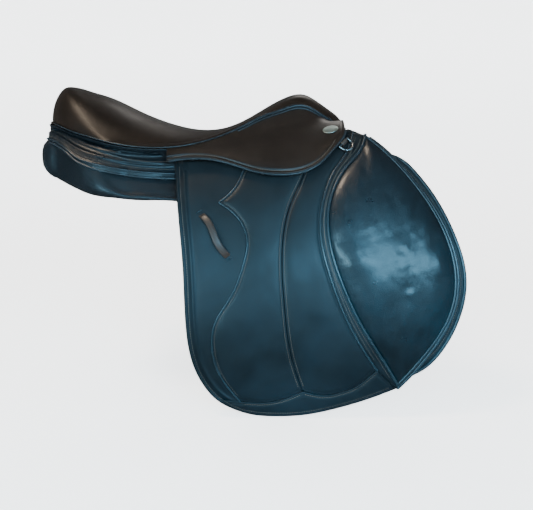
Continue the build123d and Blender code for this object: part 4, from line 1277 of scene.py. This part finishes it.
def wrapped_band(name, low_line, top_drop, front_x, relief, levels, bulge, node, slot, end_y=-33.0):
    """Band round the rear of the cushion, from a lower line up to the seat's seam."""
    lines = []
    xs = np.arange(front_x, -217, -6.0)
    for level in range(levels):
        v = level / (levels - 1)
        points = []
        for x in xs:
            low = np.interp(x, low_line[:, 0], low_line[:, 1])
            z = low + (seam_height(x) - top_drop - low) * v
            seam_y = np.interp(x, plan_right[:, 0], plan_right[:, 1])
            y = panel_side(x, z) * (1 - step_up(v, 0.35, 1.0)) + (seam_y + 1.0) * step_up(v, 0.35, 1.0)
            points.append((x, y, z))
        x0, y0 = points[-1][0], points[-1][1]
        for depth, w in REAR_STEPS:
            x = x0 - (14.0 + 3.0 * v) * depth
            low = np.interp(x, low_line[:, 0], low_line[:, 1])
            points.append((x, y0 * (1 - w) + end_y * w, low + (seam_height(x) - top_drop - low) * v))
        lines.append(smooth_curve(points, 1.0))
    count = 150
    grid = []
    for line in lines:
        at = np.linspace(0, len(line) - 1, count)
        grid.append(np.stack([np.interp(at, np.arange(len(line)), line[:, k]) for k in range(3)], axis=1))
    grid = np.array(grid)
    normal = np.cross(np.gradient(grid, axis=1), np.gradient(grid, axis=0))
    normal /= np.linalg.norm(normal, axis=2)[:, :, None]
    if normal[levels // 2, 20, 1] > 0:
        normal = -normal
    for _ in range(NORMAL_PASSES):
        padded = np.concatenate([normal[:, :1], normal, normal[:, -1:]], axis=1)
        normal = padded[:, :-2] + padded[:, 1:-1] + padded[:, 2:]
        normal /= np.linalg.norm(normal, axis=2)[:, :, None]
    v = np.linspace(0, 1, levels)
    height = np.maximum(np.array([relief(k) for k in v]) + bulge, 0.5)[:, None]
    taper = 1 - 0.7 * step_up(grid[:, :, 0], front_x - 40, front_x)
    outer = grid + normal * np.maximum(height * taper, 0.5)[:, :, None]
    inner = grid + normal * 0.2
    verts = np.vstack([outer.reshape(-1, 3), inner.reshape(-1, 3)])
    total = levels * count
    top = grid_faces(levels, count)
    faces = list(top) + [tuple(i + total for i in f)[::-1] for f in top]
    edges = [(i, i + 1) for i in range(count - 1)] + [((r + 1) * count - 1, (r + 2) * count - 1) for r in range(levels - 1)]
    edges += [((levels - 1) * count + i + 1, (levels - 1) * count + i) for i in range(count - 1)]
    edges += [((r + 1) * count, r * count) for r in range(levels - 1)]
    faces += [(b, a, a + total, b + total) for a, b in edges]
    piece = make_object(name, verts, faces, materials[slot], slot)
    both_sides(piece, "root", (node,))
    return outer, normal


def facing_relief(v):
    ridges = sum(1.3 * math.exp(-((v - c) / 0.055) ** 2) for c in (0.16, 0.46, 0.7))
    return ridges + 0.6 * math.sin(math.pi * v) - 1.6 * math.exp(-(v / 0.03) ** 2)


def strip_relief(v):
    return 1.4 * math.sqrt(max(0.0, 1 - (1 - min(v / 0.12, 1)) ** 2)) + 0.5 * math.exp(-((v - 0.3) / 0.1) ** 2)


facing, facing_normal = wrapped_band("panel_facing", facing_low, 3.0, -30.0, facing_relief, 49, 1.4, "panel_facing",
                                     "panel_leather")
strip, strip_normal = wrapped_band("rear_strip", strip_low, 1.5, -36.0, strip_relief, 21, 3.2, "rear_strip",
                                   "skirt_leather")
rows = [(facing[k][::1], facing_normal[k]) for k in (15, 28)]
both_sides(stitches("facing_stitching", rows, thread, "panel_leather", length=2.0, pitch=3.2), "root")
for name, path, radius in (("facing_piping", facing[1], 1.8), ("facing_ridge", facing[8], 1.5),
                           ("strip_piping", strip[1], 2.1)):
    both_sides(tube(name, path, radius, materials["piping_leather"], "piping_leather"), "root")

lining_x = np.linspace(-203, 148, 60)
floor = smooth_curve(((-205, 40), (-150, 20), (-90, 6), (-25, 1), (40, 2), (110, 12), (150, 26)), 4.0)
verts, columns = [], 15
for layer_z in (0.0, 2.2):
    for x in lining_x:
        for k in range(columns):
            y = -24.4 + 48.8 * k / (columns - 1)
            sag = 0.9 * (1 - (y / 24.4) ** 2)
            verts.append((x, y, np.interp(x, floor[:, 0], floor[:, 1]) + layer_z + sag * (1 if layer_z else 0.6)))
total = len(lining_x) * columns
top = grid_faces(len(lining_x), columns)
faces = [tuple(i + total for i in f)[::-1] for f in top] + list(top)
edges = [(i, i + 1) for i in range(columns - 1)]
edges += [((r + 1) * columns - 1, (r + 2) * columns - 1) for r in range(len(lining_x) - 1)]
edges += [((len(lining_x) - 1) * columns + i + 1, (len(lining_x) - 1) * columns + i) for i in range(columns - 1)]
edges += [((r + 1) * columns, r * columns) for r in range(len(lining_x) - 1)]
faces += [(a, b, b + total, a + total) for a, b in edges]
on_root(make_object("channel_lining", verts, faces, materials["panel_leather"], "panel_leather"), "channel_lining")


# ---------------------------------------------------------------- under the flap

place_sweat = on_layer(617.0)
sweat_outline = loop_of(4.0, SWEAT_FRONT, SWEAT_BOTTOM, ((-8, 18), (262, 18)))
sweat_rim = np.vstack([smooth_curve(SWEAT_FRONT, 4.0), smooth_curve(SWEAT_BOTTOM, 4.0)[1:]])


def sweat_top(points, edge):
    d = distance_to(points, sweat_rim)
    return -0.7 * hump(d, 6.0, 1.4) + 0.3 * waves(points, 80, 31) * step_up(d, 10, 40)


sweat = leather("sweat_flap", sweat_outline, place_sweat, sweat_top, flat_height(-4.0), materials["flap_leather"],
                "flap_leather", spacing=7.0, rings=(0.4, 1.0, 2.0, 3.2, 4.6, 6.0, 7.6), round_edge=1.8)
both_sides(sweat, "root", ("sweat_flap",))
row = trimmed(shifted(sweat_rim, -6.0), 8, 8)
both_sides(stitches("sweat_stitching", [row_on(place_sweat, row, -0.5)], thread, "flap_leather"), "root")
front_rim = smooth_curve(SWEAT_FRONT + SWEAT_BOTTOM[1:5], 3.0)
path = place_sweat(front_rim, np.full(len(front_rim), -1.2))
both_sides(tube("sweat_binding", path, 2.9, materials["piping_leather"], "piping_leather"), "root")

for name, outline, thick in (("knee_block", KNEE_BLOCK, 9.6), ("thigh_block", THIGH_BLOCK, 9.0)):
    loop = smooth_curve(outline, 3.0, closed=True)
    block = leather(name, loop, on_layer(617.2), lambda p, e, t=thick: t * (1 - np.exp(-e / 7.0)) + 0.4,
                    flat_height(0.0), materials["panel_leather"], "panel_leather", spacing=5.0,
                    rings=(0.6, 1.6, 3.0, 5.0), round_edge=3.0)
    both_sides(block, "root", (name,))



def strap_plan(left, right, low, high, step=3.0):
    """Outline of an upright strap with square corners."""
    corners = ((left, low), (right, low), (right, high), (left, high))
    return loop_of(step, *[(corners[k], corners[(k + 1) % 4]) for k in range(4)])


def cup_plan(left, right, low, high, corner):
    """Outline like a strap's, with its two lower corners rounded."""
    turn = np.radians(np.linspace(0, 90, 7))
    lower_right = [(right - corner + corner * math.sin(a), low + corner - corner * math.cos(a)) for a in turn]
    lower_left = [(left + corner - corner * math.cos(a), low + corner - corner * math.sin(a)) for a in turn]
    return loop_of(3.0, lower_left, (lower_left[-1], lower_right[0]), lower_right, (lower_right[-1], (right, high)),
                   ((right, high), (left, high)), ((left, high), lower_left[0]))


gusset = loop_of(2.0, ((140, -26), (140, -72), (144, -80), (152, -84)), ((152, -84), (180, -84)),
                 ((180, -84), (188, -80), (192, -72), (192, -26)), ((192, -26), (189.5, -26)),
                 ((189.5, -26), (189.5, -71), (186, -78), (179, -81.5)), ((179, -81.5), (153, -81.5)),
                 ((153, -81.5), (146, -78), (142.5, -71), (142.5, -26)), ((142.5, -26), (140, -26)))
for name, plan, low, high in (("point_pocket_back", cup_plan(140, 192, -84, -26, 12), 0.0, 1.8),
                              ("point_pocket_gusset", gusset, 1.6, 18.0),
                              ("point_pocket_front", cup_plan(140, 192, -84, -26, 12), 17.8, 19.6)):
    piece = leather(name, plan, on_layer(592.0), flat_height(high), flat_height(low), materials["panel_leather"],
                    "panel_leather", spacing=4.5, rings=(0.3, 0.8), round_edge=0.8)
    both_sides(piece, "root", ("point_pocket",))


for which, x in BILLETS.items():
    web = leather(which + "_billet_web", strap_plan(x - 14.5, x + 14.5, -28, 14), on_layer(617.2),
                  flat_height(2.6), flat_height(0.1), materials["webbing"], "webbing", spacing=5.0,
                  rings=(0.4, 1.2), round_edge=0.8)
    both_sides(web, "root", ("billet_webs",))

for which, x in BILLETS.items():
    half, tip = 12.5, -296.0
    outline = loop_of(2.5, ((x - half, -12), (x - half, tip + 16)),
                      ((x - half, tip + 16), (x - half * 0.62, tip + 4), (x, tip), (x + half * 0.62, tip + 4), (x + half, tip + 16)),
                      ((x + half, tip + 16), (x + half, -12)), ((x + half, -12), (x - half, -12)))
    holes = []
    for k in range(8):
        angle = np.linspace(0, 2 * math.pi, 20, endpoint=False)
        holes.append(np.stack([x + 2.5 * np.cos(angle), -282 + 20 * k + 2.5 * np.sin(angle)], axis=1))
    billet = leather(which + "_billet", outline, on_layer(620.4),
                     lambda p, e: 3.6 - 0.35 * hump(e, 3.0, 0.9), flat_height(0.0), materials["billet_leather"],
                     "billet_leather", spacing=4.5, rings=(0.3, 0.8, 1.6, 3.0), round_edge=1.0, holes=holes)
    both_sides(billet, which + "_billet", (which + "_billet",))


# ---------------------------------------------------------------- floor, light, camera

floor_z = cad_low[2] - 0.002


def studio():
    """Pale floor that curves up into a backdrop on every side."""
    verts, faces, sides = [], [], 64
    profile_rings = ((0.0, 0.0), (1.2, 0.0), (2.2, 0.0), (2.9, 0.08), (3.4, 0.35), (3.7, 0.9), (3.8, 2.6))
    for radius, height in profile_rings[1:]:
        for k in range(sides):
            angle = 2 * math.pi * k / sides
            verts.append((radius * math.cos(angle), radius * math.sin(angle), floor_z + height))
    verts.append((0, 0, floor_z))
    rings = len(profile_rings) - 1
    for i in range(rings - 1):
        for k in range(sides):
            m = (k + 1) % sides
            faces.append((i * sides + k, (i + 1) * sides + k, (i + 1) * sides + m, i * sides + m))
    for k in range(sides):
        faces.append((len(verts) - 1, k, (k + 1) % sides))
    material, nodes, links, shader, place = new_material("studio_floor")
    tone = noise(nodes, links, place, 3.0, 2.0)
    links.new(ramp(nodes, links, tone, ((0.3, (0.93, 0.93, 0.93)), (0.7, (0.96, 0.96, 0.96)))), shader.inputs["Base Color"])
    shader.inputs["Roughness"].default_value = 0.9
    shader.inputs["Emission Color"].default_value = (1, 1, 1, 1)
    shader.inputs["Emission Strength"].default_value = 1.9
    mesh = bpy.data.meshes.new("studio")
    mesh.from_pydata(verts, [], faces)
    mesh.polygons.foreach_set("use_smooth", [True] * len(mesh.polygons))
    mesh.materials.append(material)
    obj = bpy.data.objects.new("studio", mesh)
    bpy.context.scene.collection.objects.link(obj)
    obj.visible_glossy = False


studio()


def area_light(name, location, target, size, power, color):
    data = bpy.data.lights.new(name, "AREA")
    data.shape = "RECTANGLE"
    data.size, data.size_y = size
    data.energy = power
    data.color = color
    obj = bpy.data.objects.new(name, data)
    obj.location = location
    obj.rotation_euler = (Vector(target) - Vector(location)).to_track_quat("-Z", "Y").to_euler()
    bpy.context.scene.collection.objects.link(obj)


CENTRE = (0.08, 0.0, -0.12)
area_light("window", (0.75, -2.2, 0.62), (0.2, 0.0, -0.1), (1.1, 0.5), 58, (0.26, 0.68, 1.0))
area_light("low_front", (-0.9, -2.0, 0.3), (-0.05, 0.0, -0.1), (0.8, 0.45), 34, (0.36, 0.76, 1.0))
area_light("top", (-0.9, -0.7, 2.0), CENTRE, (0.5, 0.5), 34, (1.0, 0.80, 0.60))
area_light("back", (0.6, 1.9, 1.7), CENTRE, (1.2, 0.8), 10, (1.0, 0.95, 0.9))

world = bpy.data.worlds.new("studio_world")
world.use_nodes = True
world.node_tree.nodes["Background"].inputs["Color"].default_value = (1, 1, 1, 1)
world.node_tree.nodes["Background"].inputs["Strength"].default_value = 0.14
bpy.context.scene.world = world

camera_data = bpy.data.cameras.new("camera")
camera_data.lens = 45.9
camera_data.sensor_width = 36.0
camera = bpy.data.objects.new("camera", camera_data)
camera.location = (0.104, -1.129, 0.065)
camera.rotation_euler = (Vector((0.104, 0.0, -0.154)) - camera.location).to_track_quat("-Z", "Y").to_euler()
bpy.context.scene.collection.objects.link(camera)
bpy.context.scene.camera = camera
